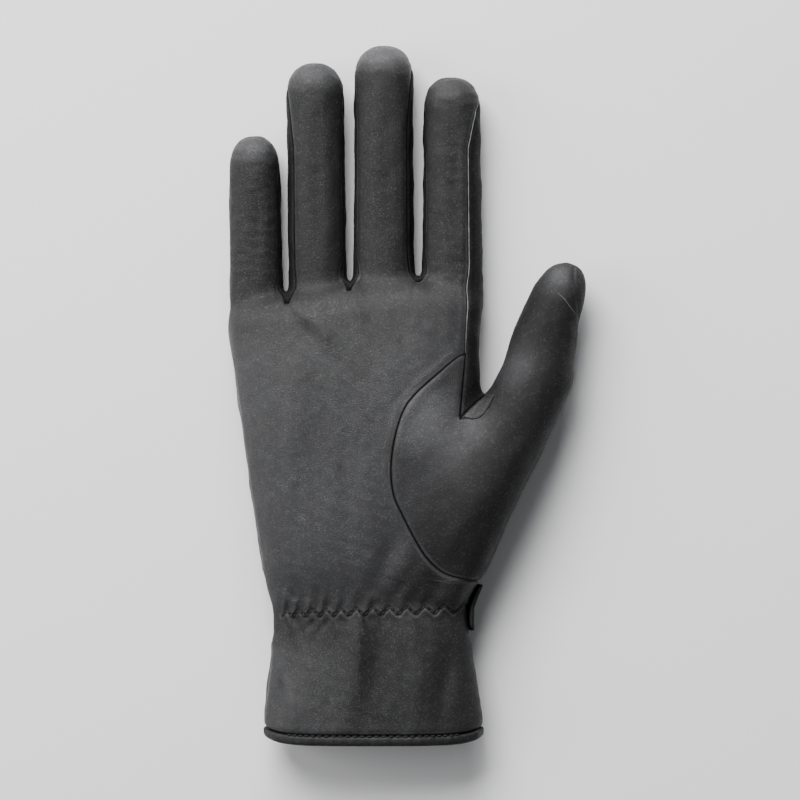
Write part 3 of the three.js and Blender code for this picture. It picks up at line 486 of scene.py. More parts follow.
# Places round a finger: turn is 0 at the thumb side and a quarter turn on the front
def finger_place(finger, y, turn):
    middle, half_width, half_height, level, _, over = finger_section(finger, y)
    shrink = round_end(over)
    power = 2 / FINGER_FULLNESS
    return places(
        middle + half_width * shrink * signed_power(np.cos(turn), power),
        y,
        level + half_height * shrink * signed_power(np.sin(turn), power),
    )


def steps(*zones):
    """Fine row places through zones of so many pattern rows."""
    rows = [0.0]
    for count in zones:
        start = rows[-1]
        rows += list(start + np.arange(1, count * FINE + 1) / FINE)
    return np.array(rows)


FINGER_STEPS = steps(FINGER, TIP)
HAND_STEPS = np.concatenate([steps(CUFF, BALL, HORN, KNUCKLE), np.linspace(*ELASTIC_ROWS)])
HAND_STEPS = np.unique(np.round(HAND_STEPS, 4))
POINT_ROW = (FINGER + 1) * FINE


def hand_index(row):
    """Fine row of the hand that a pattern row has."""
    return int(np.searchsorted(HAND_STEPS, row - 1e-6))


ROW_BALL = hand_index(CUFF)
ROW_HORN = hand_index(CUFF + BALL)
ROW_KNUCKLE = hand_index(CUFF + BALL + HORN)


def finger_row_y(finger, row, x):
    """How far up the glove a row of the finger lies."""
    tip = finger["reach"] * GLOVE_LENGTH
    cap = finger["end"] * FINGER_WIDTH
    straight = mix(root_y(x), tip - cap, row / FINGER)
    turn = np.clip((row - FINGER) / TIP, 0, 1) * math.pi / 2
    return np.where(row <= FINGER, straight, tip - cap + cap * np.sin(turn))


def seam_turn(strip, row):
    """Angle of a finger's seam, which runs out to the side near the tip."""
    if strip == 0:
        return np.full(row.shape, SIDE_SEAM_RISE)
    full = math.acos((1 - strip) ** (FINGER_FULLNESS / 2))
    return full * np.sqrt(np.clip((FINGER + 1 - row) / 3, 0, 1))


def slit_corner(web, side, front):
    """Corner of a finger's face at the end of the slit between two fingers."""
    y = np.array([web[1] * GLOVE_LENGTH])
    _, _, half_height, level = hand_section(y)
    inner = places(web[0] * HAND_WIDTH + side * WEB_WIDTH / 2, y - 1, level)
    outer = inner.copy()
    outer[:, 2] += (3 if front else -3) * half_height
    return reach(outer, inner)[0]


def finger_face(index, front):
    """Rows of the front or back of a finger, from its root to its tip."""
    finger = FINGERS[index]
    up = 1 if front else -1
    row = FINGER_STEPS[:, None]
    share = crowd(np.linspace(0, 1, FINGER_COLUMNS + 1))[None]
    left_strip = finger["left"] if front or finger["left"] == 0 else BACK_STRIP
    right_strip = finger["right"] if front else BACK_STRIP
    left_rise = up * seam_turn(0, row) if left_strip == 0 else seam_turn(left_strip, row)
    turn = up * mix(math.pi - left_rise, seam_turn(right_strip, row), share)
    middle, half_width = finger_section(finger, np.array(ROOT_LINE_LEFT * GLOVE_LENGTH))[:2]
    y = finger_row_y(finger, row, middle + half_width * np.cos(turn))
    grid = finger_place(finger, y, turn)
    for column, web, side in ((0, index - 1, 1), (-1, index, -1)):
        if 0 <= web < len(WEBS):
            shift = slit_corner(WEBS[web], side, front) - grid[0, column]
            from_edge = share if column == 0 else 1 - share
            fade = np.clip(1 - from_edge / 0.3, 0, 1) ** 2 * (1 - soften(row / 1.2))
            grid += fade[..., None] * shift
    return settle(grid)


# Rows of the hand below the fingers
def palm_seam_curve():
    """The palm seam as a dense centripetal curve with its lengths as shares."""
    points = np.stack([PALM_SEAM[:, 1] * HAND_WIDTH, PALM_SEAM[:, 0] * GLOVE_LENGTH], axis=1)
    ends = [2 * points[0] - points[1], *points, 2 * points[-1] - points[-2]]
    line = []
    for index in range(1, len(ends) - 2):
        a, b, c, d = ends[index - 1:index + 3]
        first, mid, final = [math.sqrt(np.linalg.norm(q - p)) for p, q in ((a, b), (b, c), (c, d))]
        leave = ((b - a) / first - (c - a) / (first + mid) + (c - b) / mid) * mid
        arrive = ((c - b) / mid - (d - b) / (mid + final) + (d - c) / final) * mid
        for share in np.linspace(0, 1, 25)[(0 if index == 1 else 1):]:
            bend = -3 * b + 3 * c - 2 * leave - arrive
            line.append(b + share * (leave + share * (bend + share * (2 * b - 2 * c + leave + arrive))))
    line = np.array(line)
    run = np.concatenate([[0], np.cumsum(np.linalg.norm(np.diff(line, axis=0), axis=1))])
    return line, run / run[-1]


SEAM_LINE, SEAM_SHARE = palm_seam_curve()
PANEL_LOW = BINDING_DEPTH + SEAM_GAP / 2
LOW_SEAM_Y = THUMB_SEAM_LOW * GLOVE_LENGTH
CROTCH_Y = THUMB_CROTCH_ALONG * GLOVE_LENGTH
CROTCH_SHARE = np.interp(CROTCH_Y, SEAM_LINE[:, 1], SEAM_SHARE)


def seam_in_row(row):
    """Where the palm seam crosses a row of the hand."""
    step = row - CUFF
    share = np.where(step <= BALL, CROTCH_SHARE * step / BALL, mix(CROTCH_SHARE, 1, (step - BALL) / HORN))
    return np.interp(share, SEAM_SHARE, SEAM_LINE[:, 0]), np.interp(share, SEAM_SHARE, SEAM_LINE[:, 1])


def hand_row_y(row, x):
    """How far up the glove a row of the hand lies."""
    low = mix(PANEL_LOW, LOW_SEAM_Y, row / CUFF)
    ball = mix(LOW_SEAM_Y, CROTCH_Y, (row - CUFF) / BALL)
    high = mix(CROTCH_Y, root_y(x), (row - CUFF - BALL) / (HORN + KNUCKLE))
    return np.where(row <= CUFF, low, np.where(row <= CUFF + BALL, ball, high))


def thumb_side(row, front, end_x):
    """End of each row at the thumb's side: how far up the glove and how far round it."""
    y = hand_row_y(row, end_x)
    if front:
        seam_x, seam_y = seam_in_row(row)
        seam_y = np.where(row >= CUFF + BALL + HORN, y, seam_y)
        arc = np.where(row >= CUFF + BALL + HORN, arc_of_x(y, end_x), arc_of_x(seam_y, seam_x))
        y = np.where(row <= CUFF, y, seam_y)
    else:
        arc = arc_of_x(y, through(BACK_SEAM, 1, y / GLOVE_LENGTH) * HAND_WIDTH)
    return y, np.where(row <= CUFF, side_arc(y, 0), arc)


def side_rise(row):
    """Angle of the side seam, which meets the little finger's own at the top row."""
    _, _, half_height, level = hand_section(np.array(ROOT_LINE_LEFT * GLOVE_LENGTH))
    section = finger_section(FINGERS[0], np.array(ROOT_LINE_LEFT * GLOVE_LENGTH))
    seam_z = section[3] + section[2] * math.sin(SIDE_SEAM_RISE)
    top_rise = math.asin((seam_z - level) / half_height)
    return mix(SIDE_SEAM_RISE, top_rise, soften((row - CUFF - BALL) / (HORN + KNUCKLE)))


def hand_face(front, faces):
    """Rows of the palm or the back of the hand, from the cuff to the finger faces."""
    top = np.concatenate([face[0] for face in faces])
    middle, half_width = finger_section(FINGERS[0], np.array(ROOT_LINE_LEFT * GLOVE_LENGTH))[:2]
    off = top[:, 0] - middle
    arc_top = np.where(off >= 0, off, -half_width * np.arcsin(np.clip(-off / half_width, 0, 1)))
    shares = (arc_top - arc_top[0]) / (arc_top[-1] - arc_top[0])
    row = HAND_STEPS[:, None]
    even = np.linspace(0, 1, len(top))[None]
    share = mix(shares[None], even, soften(2 * (1 - row / HAND_ROWS)) * 0.8)
    end_y, end_arc = thumb_side(row, front, top[-1, 0])
    y = mix(hand_row_y(row, top[None, :, 0]), end_y, share * share)
    rise = side_rise(row) * (1 if front else -1)
    grid = round_mouth(hand_place(y, mix(-side_arc(y, rise), end_arc, share), front))
    high = row[:, 0] > HAND_ROWS - KNUCKLE
    fade = soften((row[high] - HAND_ROWS + KNUCKLE) / KNUCKLE)
    grid[high] = settle(grid[high] + fade[..., None] * (top - grid[-1]))
    grid[-1] = top
    return grid


# The thumb
def thumb_place(on, turn):
    """Places on the thumb by the distance along its axis and the angle round it."""
    side, half_width, half_height, level, _, over = thumb_section(on)
    shrink = round_end(over)
    power = 2 / FINGER_FULLNESS
    side = side + half_width * shrink * signed_power(np.cos(turn), power)
    place = THUMB_START + np.asarray(on)[..., None] * THUMB_FORWARD + side[..., None] * THUMB_SIDEWAYS
    place[..., 2] = level + half_height * shrink * signed_power(np.sin(turn), power)
    return place


def ball_rows(palm, back):
    """Rows of the thumb's ball, from the palm seam round its side to the back seam."""
    rows = slice(ROW_BALL, ROW_HORN + 1)
    step = (HAND_STEPS[rows] - CUFF) / BALL
    seam = palm[rows, -1]
    far = back[rows, -1]
    edge = settle(thumb_place(mix(0.055, 0.515, step ** 1.3) * THUMB_LENGTH, np.zeros(len(step))))
    edge = mix(seam, edge, soften(step * BALL * 2)[:, None])
    front_turn = crowd(np.linspace(0, 1, THUMB_FRONT + 1), 0.35) * math.pi / 2
    back_turn = crowd(np.linspace(0, 1, THUMB_BACK + 1), 0.35)[1:] * math.pi / 2
    front = mix(seam[:, None], edge[:, None], np.sin(front_turn)[None, :, None])
    front[..., 2] = mix(edge[:, None, 2], seam[:, None, 2], np.cos(front_turn)[None])
    rear = mix(far[:, None], edge[:, None], np.cos(back_turn)[None, :, None])
    rear[..., 2] = mix(edge[:, None, 2], far[:, None, 2], np.sin(back_turn)[None])
    grid = settle(np.concatenate([front, rear], axis=1))
    grid[:, 0] = seam
    grid[:, -1] = far
    grid[0] = seam[0]
    return grid


def round_side(front, back, side):
    """Rows from front seams round the side to back seams."""
    turn = (crowd(np.linspace(0, 1, STRIP_COLUMNS + 1)) * math.pi)[None]
    first = (turn < math.pi / 2)[..., None]
    start = np.where(first, front[:, None], back[:, None])
    grid = mix(start, side[:, None], np.sin(turn)[..., None])
    grid[..., 2] = mix(side[:, None, 2], start[..., 2], np.abs(np.cos(turn)))
    grid = settle(grid)
    grid[:, 0] = front
    grid[:, -1] = back
    return grid


def horn_edge(ball, palm):
    """Where the strip's front edge runs beside the ball of the thumb, from its low corner up."""
    share = np.linspace(0, 1, HORN * FINE + 1)[:, None]
    top = palm[ROW_KNUCKLE, -1]
    edge = settle(mix(ball[-1, HORN_COLUMNS], top, share))
    edge[0] = ball[-1, HORN_COLUMNS]
    edge[-1] = top
    return edge


def side_strip_rows(panels):
    """Rows of the strip down the first finger and past the hand to the crotch of the thumb."""
    finger = FINGERS[-1]
    front = panels["front"][-1][POINT_ROW::-1, -1]
    back = panels["back"][-1][POINT_ROW::-1, -1]
    middle, half_width, _, level, _, _ = finger_section(finger, front[:, 1])
    side = settle(places(middle + half_width, (front[:, 1] + back[:, 1]) / 2, level))
    upper = round_side(front, back, side)
    upper[0] = front[0]
    hand_front = np.concatenate([panels["horn_edge"], panels["palm"][ROW_KNUCKLE + 1:, -1]])[::-1]
    hand_back = panels["back_hand"][ROW_HORN:, -1][::-1]
    middle, half_width, _, level = hand_section(hand_front[:, 1])
    start = places(middle + half_width, (hand_front[:, 1] + hand_back[:, 1]) / 2, level)
    middle, half_width, _, level = hand_section(np.array(CROTCH_Y))
    crotch = places(middle + half_width + CROTCH_OUT, CROTCH_Y + CROTCH_UP, level)
    near = np.clip((np.arange(len(start)) - len(start) + 1) / FINE + 1, 0, 1)
    side = settle(mix(start, crotch, near[:, None]))
    lower = round_side(hand_front, hand_back, side)
    return np.concatenate([upper, lower[1:]])


def horn_rows(panels):
    """Rows of the narrow horn of the ball between the palm and the strip."""
    start = panels["palm"][ROW_HORN:ROW_KNUCKLE + 1, -1]
    share = np.linspace(0, 1, HORN_COLUMNS + 1)[None, :, None]
    grid = settle(mix(start[:, None], panels["horn_edge"][:, None], share))
    grid[0] = panels["ball"][-1, :HORN_COLUMNS + 1]
    grid[:, 0] = start
    grid[:, -1] = panels["horn_edge"]
    grid[-1] = start[-1]
    return grid


def thumb_rings(panels):
    """Rings of the thumb, from the ball and the strip's end to its tip."""
    web_edge = panels["side_strip"][-1, 1:-1][::-1]
    ring = np.concatenate([panels["ball"][-1, HORN_COLUMNS:], web_edge])
    from_start = ring - THUMB_START
    on = from_start @ THUMB_FORWARD
    side, half_width, half_height, level, _, _ = thumb_section(on)
    turn = np.arctan2((ring[:, 2] - level) / half_height, (from_start @ THUMB_SIDEWAYS - side) / half_width)
    for index in range(1, len(turn)):
        while turn[index] > turn[index - 1]:
            turn[index] -= 2 * math.pi
    row = steps(THUMB_RINGS, TIP)[:, None]
    even = turn[0] - np.arange(len(ring))[None] / len(ring) * 2 * math.pi
    turn = mix(turn[None], even, soften(row / 4))
    cap_start = (1 - THUMB_TIP_SHARE) * THUMB_LENGTH
    straight = mix(on[None], cap_start, row / THUMB_RINGS)
    cap_turn = np.clip((row - THUMB_RINGS) / TIP, 0, 1) * math.pi / 2
    capped = cap_start + THUMB_TIP_SHARE * THUMB_LENGTH * np.sin(cap_turn)
    along = np.where(row <= THUMB_RINGS, straight, capped)
    place = thumb_place(along, turn)
    place += (ring - place[0]) * (1 - soften(row / 1.5))[..., None]
    grid = settle(place)
    grid[0] = ring
    grid[-1] = grid[-1, 0]
    return np.concatenate([grid, grid[:, :1]], axis=1)


def fourchette_rows(panels, index):
    """Strip down the side of one finger, round the web and up the next."""
    web = WEBS[index]
    arms = []
    for face, column, side in ((index, -1, -1), (index + 1, 0, 1)):
        front = panels["front"][face][:POINT_ROW + 1, column]
        back = panels["back"][face][:POINT_ROW + 1, column]
        row = FINGER_STEPS[:POINT_ROW + 1, None]
        share = crowd(np.linspace(0, 1, STRIP_COLUMNS + 1))[None]
        lift = (np.sin(share * math.pi) * (web[2] - web[1]) * GLOVE_LENGTH
                * np.clip(1 - row / FINGER, 0, 1))
        z = mix(front[:, None, 2], back[:, None, 2], share)
        low = 1 - soften(row / 0.5)
        y = mix(front[:, None, 1], back[:, None, 1], share) + lift + WEB_EDGE_LIFT * low
        middle, half_width = finger_section(FINGERS[face], y)[:2]
        chord = mix(front[:, None, 0], back[:, None, 0], share)
        bow = np.sin(share * math.pi) ** 0.7 * (1 - low)
        x = mix(chord, middle - side * half_width, bow)
        grid = settle(places(x, y, z))
        grid[:, 0] = front
        grid[:, -1] = back
        grid[-1] = front[-1]
        arms.append(grid[::-1] if side < 0 else grid)
    return np.concatenate(arms)


PANELS = {}


def panels():
    """Rows of places for every leather piece, with the seams shared between neighbours."""
    if PANELS:
        return PANELS
    front = [finger_face(index, True) for index in range(len(FINGERS))]
    back = [finger_face(index, False) for index in range(len(FINGERS))]
    palm = hand_face(True, front)
    back_hand = hand_face(False, back)
    back_hand[:, 0] = palm[:, 0]
    back_hand[:ROW_BALL + 1, -1] = palm[:ROW_BALL + 1, -1]
    for index, (face, rear) in enumerate(zip(front, back)):
        first_row = 0 if index == 0 else POINT_ROW
        rear[first_row:, 0] = face[first_row:, 0]
        rear[POINT_ROW:, -1] = face[POINT_ROW:, -1]
        face[-1] = face[-1, 0]
        rear[-1] = face[-1, 0]
    palm[-1] = np.concatenate([face[0] for face in front])
    back_hand[-1] = np.concatenate([face[0] for face in back])
    PANELS.update(front=front, back=back, palm=palm, back_hand=back_hand)
    PANELS["ball"] = ball_rows(palm, back_hand)
    PANELS["horn_edge"] = horn_edge(PANELS["ball"], palm)
    PANELS["side_strip"] = side_strip_rows(PANELS)
    PANELS["horn"] = horn_rows(PANELS)
    PANELS["thumb_rings"] = thumb_rings(PANELS)
    PANELS["fourchettes"] = [fourchette_rows(PANELS, index) for index in range(len(WEBS))]
    return PANELS


# Detail that lies on the leather, all in millimetres. Painted light is 0 where the leather is left in
# painted shade, 1 on the lighter palm, the left of the cuff and the fingertips, and more where a painted
# highlight lies.
FINGER_HOLLOW = 0.45
FINGER_HOLLOW_WIDTH = 3.0
# Strength of the painted highlight on each fingertip, and of the painted light on the left of the cuff
TIP_PAINTED_HIGHLIGHT = np.array([1.15, 1.15, 1.5, 0.6])
CUFF_PAINTED_LIGHT = 0.7

# Spots of painted highlight on the ball and the tip of the thumb: across, along, radius, strength
BALL_PAINTED_HIGHLIGHT = [(8, 110, 17, 2.1), (22, 108, 9, 1.4), (37, 130, 8, 1.2), (53, 160, 6, 1.6)]

# Zigzag over the wrist's elastic: its teeth, their width and growth, and the line's level and swing
# at its left and right end
ZIGZAG_TEETH = 10.75
ZIGZAG_LEFT = -40.6
TOOTH_WIDTH = 4.2
TOOTH_GROWTH = 0.12
ZIGZAG_LEVEL = (44.5, 46.4)
ZIGZAG_SWING = (1.15, 1.55)
ELASTIC_Y = 45.5

# Gathers beside the zigzag: strength at its left and right end, reach above and below it
GATHER_STRENGTH = (0.95, 0.3)
GATHER_REACH = (4.5, 6.5)
STITCH_VALLEY = 0.5
STITCH_VALLEY_WIDTH = 0.62

# Wrinkles as share of their height, length, waves, seed and stretch
PALM_WRINKLES = [(0.6, 17, 14, 3, (1.2, 0.8, 1)), (0.30, 5.5, 18, 5, (1, 1, 1))]
FINGER_WRINKLES = (0.55, 3.6, 16, 11, (0.25, 1.5, 1))
BACK_WRINKLES = [(0.9, 16, 14, 7, (1, 1, 1)), (0.4, 6, 16, 9, (1, 1, 1))]
ELASTIC_WRINKLES = (1.2, 6, 10, 13, (1.6, 0.4, 1))
THUMB_WRINKLES = [(0.7, 15, 14, 17, (1, 1, 1)), (0.35, 5, 18, 19, (1, 1, 1))]


def tooth_x(tooth):
    """Where a tooth of the wrist's zigzag stands; the teeth widen to the thumb side."""
    return ZIGZAG_LEFT + TOOTH_WIDTH * tooth + TOOTH_GROWTH * tooth ** 2


def tooth_of(x):
    """Tooth at a place, the other way round."""
    from_left = np.maximum(x - ZIGZAG_LEFT, -20)
    return (-TOOTH_WIDTH + np.sqrt(TOOTH_WIDTH ** 2 + 4 * TOOTH_GROWTH * from_left)) / (2 * TOOTH_GROWTH)


def zigzag_y(tooth):
    """Height of the zigzag line, tips at whole teeth and roots between them."""
    share = np.clip(tooth / ZIGZAG_TEETH, 0, 1)
    wave = 2 * np.abs(2 * (tooth - np.floor(tooth)) - 1) - 1
    return mix(*ZIGZAG_LEVEL, share ** 0.8) + wave * mix(*ZIGZAG_SWING, share)


def ripples(p, wave, count, seed, stretch=(1, 1, 1)):
    """Soft unevenness of about one unit, from plane waves of a seeded choice."""
    chance = np.random.default_rng(seed)
    direction = chance.normal(size=(count, 3))
    pitch = chance.uniform(0.7, 1.5, count) * 2 * math.pi / wave
    direction *= (pitch / np.linalg.norm(direction, axis=1))[:, None]
    phase = chance.uniform(0, 2 * math.pi, count)
    return np.cos(p @ (direction * np.array(stretch)).T + phase).sum(axis=1) / math.sqrt(count / 2)


def wrinkles(p, share, *waves):
    """Ripples by their share of the wrinkle height that is set."""
    return share * chosen().wrinkle_height * 1000 * ripples(p, *waves)


def groove(p, start, end, width):
    """One on a straight line seen from above, fading beside it and towards its ends."""
    start, end = np.array(start, float), np.array(end, float)
    run = end - start
    share = np.clip(((p[:, :2] - start) @ run) / (run @ run), 0, 1)
    off = np.linalg.norm(p[:, :2] - start - share[:, None] * run, axis=1)
    return np.exp(-(off / width) ** 2) * np.sqrt(np.clip(1 - share, 0, 1))


# Small dents and ridges that run from the webs into the palm: start, end, width, rise
WEB_DENTS = [
    ((-40.8, 152.5), (-37.0, 145.0), 1.3, -0.55), ((-41.4, 152.0), (-44.5, 146.0), 1.2, -0.35),
    ((-38.6, 150.5), (-33.0, 142.0), 1.5, 0.40), ((-19.3, 157.5), (-13.0, 148.0), 1.3, -0.55),
    ((-19.6, 157.0), (-22.5, 150.0), 1.2, -0.40), ((-17.0, 155.0), (-10.5, 145.5), 1.6, 0.45),
    ((4.4, 160.5), (2.0, 153.0), 1.2, -0.50), ((4.6, 160.0), (8.5, 154.5), 1.2, -0.35),
    ((3.0, 158.5), (-0.5, 150.5), 1.6, 0.30),
]

# Longer soft creases of the palm and the cuff: start, end, width, rise
PALM_CREASES = [
    ((-44.0, 35.0), (-36.0, 6.0), 1.8, 0.70), ((-40.5, 36.0), (-30.0, 8.0), 2.4, -0.35),
    ((-15.9, 43.0), (-16.2, 12.0), 1.6, 0.20), ((-11.5, 43.0), (-11.0, 14.0), 3.6, -0.22),
    ((-21.5, 42.0), (-22.5, 16.0), 2.8, -0.30), ((-31.5, 42.0), (-36.5, 37.0), 0.9, -0.5),
    ((-27.2, 42.0), (-31.0, 36.5), 0.9, -0.45), ((-38.0, 50.5), (-44.5, 57.5), 1.1, -0.45),
    ((-33.5, 50.5), (-37.0, 56.5), 1.0, -0.35), ((2.0, 43.0), (4.5, 22.0), 2.4, 0.30),
    ((-4.0, 50.0), (6.0, 66.0), 2.2, -0.35), ((-10.0, 50.0), (-4.0, 62.0), 1.8, 0.25),
]


def gathers(p):
    """Puckers that the elastic draws in beside the zigzag, and the valley of its stitches."""
    tooth = tooth_of(p[:, 0])
    from_line = p[:, 1] - zigzag_y(tooth)
    below = from_line < 0
    on_elastic = soften((tooth + 0.6) / 0.5) * soften((ZIGZAG_TEETH + 0.6 - tooth) / 0.5)
    uneven = 1 + 0.35 * np.sin(tooth * 2.3 + 0.7) + 0.2 * np.sin(tooth * 5.1)
    strong = mix(*GATHER_STRENGTH, np.clip(tooth / ZIGZAG_TEETH, 0, 1)) * uneven * on_elastic
    lean = np.where(below, 0.10, -0.06) * from_line
    wave = np.cos(2 * math.pi * (tooth + lean))
    far = np.where(below, GATHER_REACH[1], GATHER_REACH[0])
    puff = np.where(below, wave, -wave) * np.exp(-(np.abs(from_line) / far) ** 1.4)
    valley = np.exp(-(from_line / STITCH_VALLEY_WIDTH) ** 2) * on_elastic
    height = chosen().pucker_height * 1000
    return height * (strong * puff * (1 - valley) + 0.25 * strong) - STITCH_VALLEY * valley


def palm_detail(p):
    """Gathers, creases, wrinkles and the hollow shafts of the fingers."""
    rise = gathers(p)
    for start, end, width, height in WEB_DENTS:
        rise += height * groove(p, start, end, width)
    for start, end, width, height in PALM_CREASES:
        rise += height * groove(p, start, end, width) * soften(np.abs(p[:, 1] - ELASTIC_Y) / 3)
    above_roots = soften((p[:, 1] - 150) / 14)
    for calm, layer in zip((0.4, 0.5), PALM_WRINKLES):
        rise += wrinkles(p, *layer) * (1 - calm * above_roots)
    rise += wrinkles(p, *FINGER_WRINKLES) * above_roots
    centre, tip_y, _ = nearest_finger(p[:, 0])
    on_shaft = soften((p[:, 1] - root_y(p[:, 0]) - 6) / 16) * soften((tip_y - 12 - p[:, 1]) / 16)
    from_centre = (p[:, 0] - centre - 0.5) / FINGER_HOLLOW_WIDTH
    return rise - FINGER_HOLLOW * np.exp(-from_centre ** 2) * on_shaft


def nearest_finger(x):
    """Middle line, tip and painted tip highlight of the finger that lies nearest."""
    middles = np.array([0.5 * (finger["root"] + finger["tip"]) * HAND_WIDTH for finger in FINGERS])
    tips = np.array([finger["reach"] * GLOVE_LENGTH for finger in FINGERS])
    index = np.abs(x[:, None] - middles).argmin(axis=1)
    return middles[index], tips[index], TIP_PAINTED_HIGHLIGHT[index]


def polish(p):
    """Painted light on the leather: lighter on the palm, the fingertips, the left of the cuff and the
    thumb's ball and tip, painted shade where it is low.
    """
    x, y, z = p.T
    _, tip_y, tip_highlight = nearest_finger(x)
    on_palm = soften((root_y(x) + 8 - y) / 34) * soften((y - 44) / 8)
    toward_wrist = 0.9 * (x - 10) - 0.35 * (y - 100)
    # Painted shade: the palm darkens towards the thumb's side and the wrist
    on_palm *= mix(1.0, 0.06, soften((toward_wrist + 1) / 14))
    # Painted highlight on the upper side of each fingertip
    on_tip = tip_highlight * soften((y - tip_y + 12) / 8) * soften((z - 5) / 6)
    # Painted light on the left of the cuff
    on_cuff = CUFF_PAINTED_LIGHT * soften((40 - y) / 12) * soften((-16 - x) / 10)
    most = np.maximum.reduce([on_palm, on_tip, on_cuff])
    # Painted highlights on the ball and the tip of the thumb
    for spot_x, spot_y, radius, painted_highlight in BALL_PAINTED_HIGHLIGHT:
        spot = np.exp(-((x - spot_x) ** 2 + (y - spot_y) ** 2) / radius ** 2)
        most = np.maximum(most, painted_highlight * spot * soften((z - 12) / 5))
    return most


def plain_detail(p):
    """Unevenness of the back and the strips."""
    near_elastic = np.exp(-((p[:, 1] - ELASTIC_Y) / 9) ** 2) * (p[:, 2] > 4)
    rise = sum(wrinkles(p, *layer) for layer in BACK_WRINKLES)
    return rise + near_elastic * wrinkles(p, *ELASTIC_WRINKLES)


def thumb_detail(p):
    """Unevenness of the thumb, the dent beside its crease and the one at its crotch."""
    rise = sum(wrinkles(p, *layer) for layer in THUMB_WRINKLES)
    for start, end, width, height in THUMB_DENTS:
        rise += height * groove(p, start, end, width)
    return rise


# Dents of the thumb: start, end, width, rise
THUMB_DENTS = [((51.0, 150.5), (59.5, 141.5), 0.7, -0.35), ((40, 108), (33, 99), 2.0, -0.25)]

# Fine crease beside the thumb's tip, shown as a light tube that is a painted highlight: share, across and
# along
THUMB_CREASE = np.array([(0.00, 51.7, 154.8), (0.28, 54.4, 152.3), (1.00, 59.4, 145.6)])

# Seam over the thumb's tip and down its outer side: share of the thumb and angle round it
THUMB_TIP_SEAM = np.array([
    (0.100, -0.25), (0.500, -0.22), (0.800, -0.10), (0.900, 0.75), (0.955, 1.30), (1.000, 1.45),
])
TIP_SEAM_POINTS = 90
BOW_POINTS = 60

# Bow under the strip's point: share, across and along
QUIRK_BOW = np.array([
    (0.00, 19.4, 113.4), (0.13, 20.4, 112.1), (0.28, 22.4, 111.5), (0.45, 24.8, 111.8),
    (0.62, 26.9, 113.4), (0.80, 28.6, 116.2), (1.00, 30.0, 119.2),
])


def line_seen(table, count):
    """Across and along at even shares of a table of share, across and along."""
    share = np.linspace(0, 1, count)
    return np.interp(share, table[:, 0], table[:, 1]), np.interp(share, table[:, 0], table[:, 2])


def thumb_seam_line():
    """Seams on the thumb: from its tip down the outer side, then the small bow."""
    on = np.linspace(1.0, 0.12, TIP_SEAM_POINTS) * THUMB_LENGTH
    turn = np.interp(on / THUMB_LENGTH, THUMB_TIP_SEAM[:, 0], THUMB_TIP_SEAM[:, 1])
    bow = from_above(*line_seen(QUIRK_BOW, BOW_POINTS))
    return np.concatenate([settle(thumb_place(on, turn)), bow])


def zigzag_line():
    """The zigzag as places on the leather."""
    tooth = np.linspace(-0.4, ZIGZAG_TEETH, 500)
    return from_above(tooth_x(tooth), zigzag_y(tooth))


# Meshes
def weld(grids):
    """Joins rows of places to one skin and turns its faces outwards."""
    points = np.concatenate([grid.reshape(-1, 3) for grid in grids])
    keys = np.round(points * 2000).astype(np.int64)
    _, first, index = np.unique(keys, axis=0, return_index=True, return_inverse=True)
    index = index.reshape(-1)
    points = points[first]
    quads = []
    offset = 0
    for grid in grids:
        rows, columns = grid.shape[:2]
        ids = index[offset:offset + rows * columns].reshape(rows, columns)
        offset += rows * columns
        quad = np.stack([ids[:-1, :-1], ids[:-1, 1:], ids[1:, 1:], ids[1:, :-1]], axis=-1).reshape(-1, 4)
        a, b, c, d = points[quad].transpose(1, 0, 2)
        facing = np.sign((np.cross(c - a, d - b) * gradient((a + b + c + d) / 4)).sum(axis=1)).sum()
        quads.append(quad[:, ::-1] if facing < 0 else quad)
    return points, np.concatenate(quads)


def open_edges(quads):
    """Directed edges that only one face has."""
    start = quads.reshape(-1)
    end = np.roll(quads, -1, axis=1).reshape(-1)
    real = start != end
    start, end = start[real], end[real]
    count = quads.max() + 1
    lonely = ~np.isin(start * count + end, end * count + start)
    return np.stack([start[lonely], end[lonely]], axis=1)


def inward_pull(points, normals, edges):
    """Direction over the leather away from the nearest seam, and how far to go for the seam's gap."""
    along = points[edges[:, 1]] - points[edges[:, 0]]
    pull = np.zeros_like(points)
    count = np.zeros(len(points))
    for end in (0, 1):
        part = np.cross(normals[edges[:, end]], along)
        part /= np.maximum(np.linalg.norm(part, axis=1), 1e-9)[:, None]
        np.add.at(pull, edges[:, end], part)
        np.add.at(count, edges[:, end], 1)
    length = np.linalg.norm(pull, axis=1)
    spread = np.maximum(length / np.maximum(count, 1), 0.25)
    return pull / np.maximum(length, 1e-9)[:, None] * (SHOWN_GAP / 2 / spread * (count > 0))[:, None]


def distances(points, line):
    """How far each point lies from the nearest one of a line."""
    tree = kdtree.KDTree(len(line))
    for index, place in enumerate(line):
        tree.insert(place, index)
    tree.balance()
    return np.array([tree.find(place)[2] for place in points])


def shift_to_frame():
    """From the pattern's places to the frame's, where the thumb's outer side ends the CAD box."""
    right = panels()["thumb_rings"][..., 0].max()
    return np.array([CAD_BOX[1][0] * 1000 - right, -GLOVE_LENGTH / 2, 0.0])


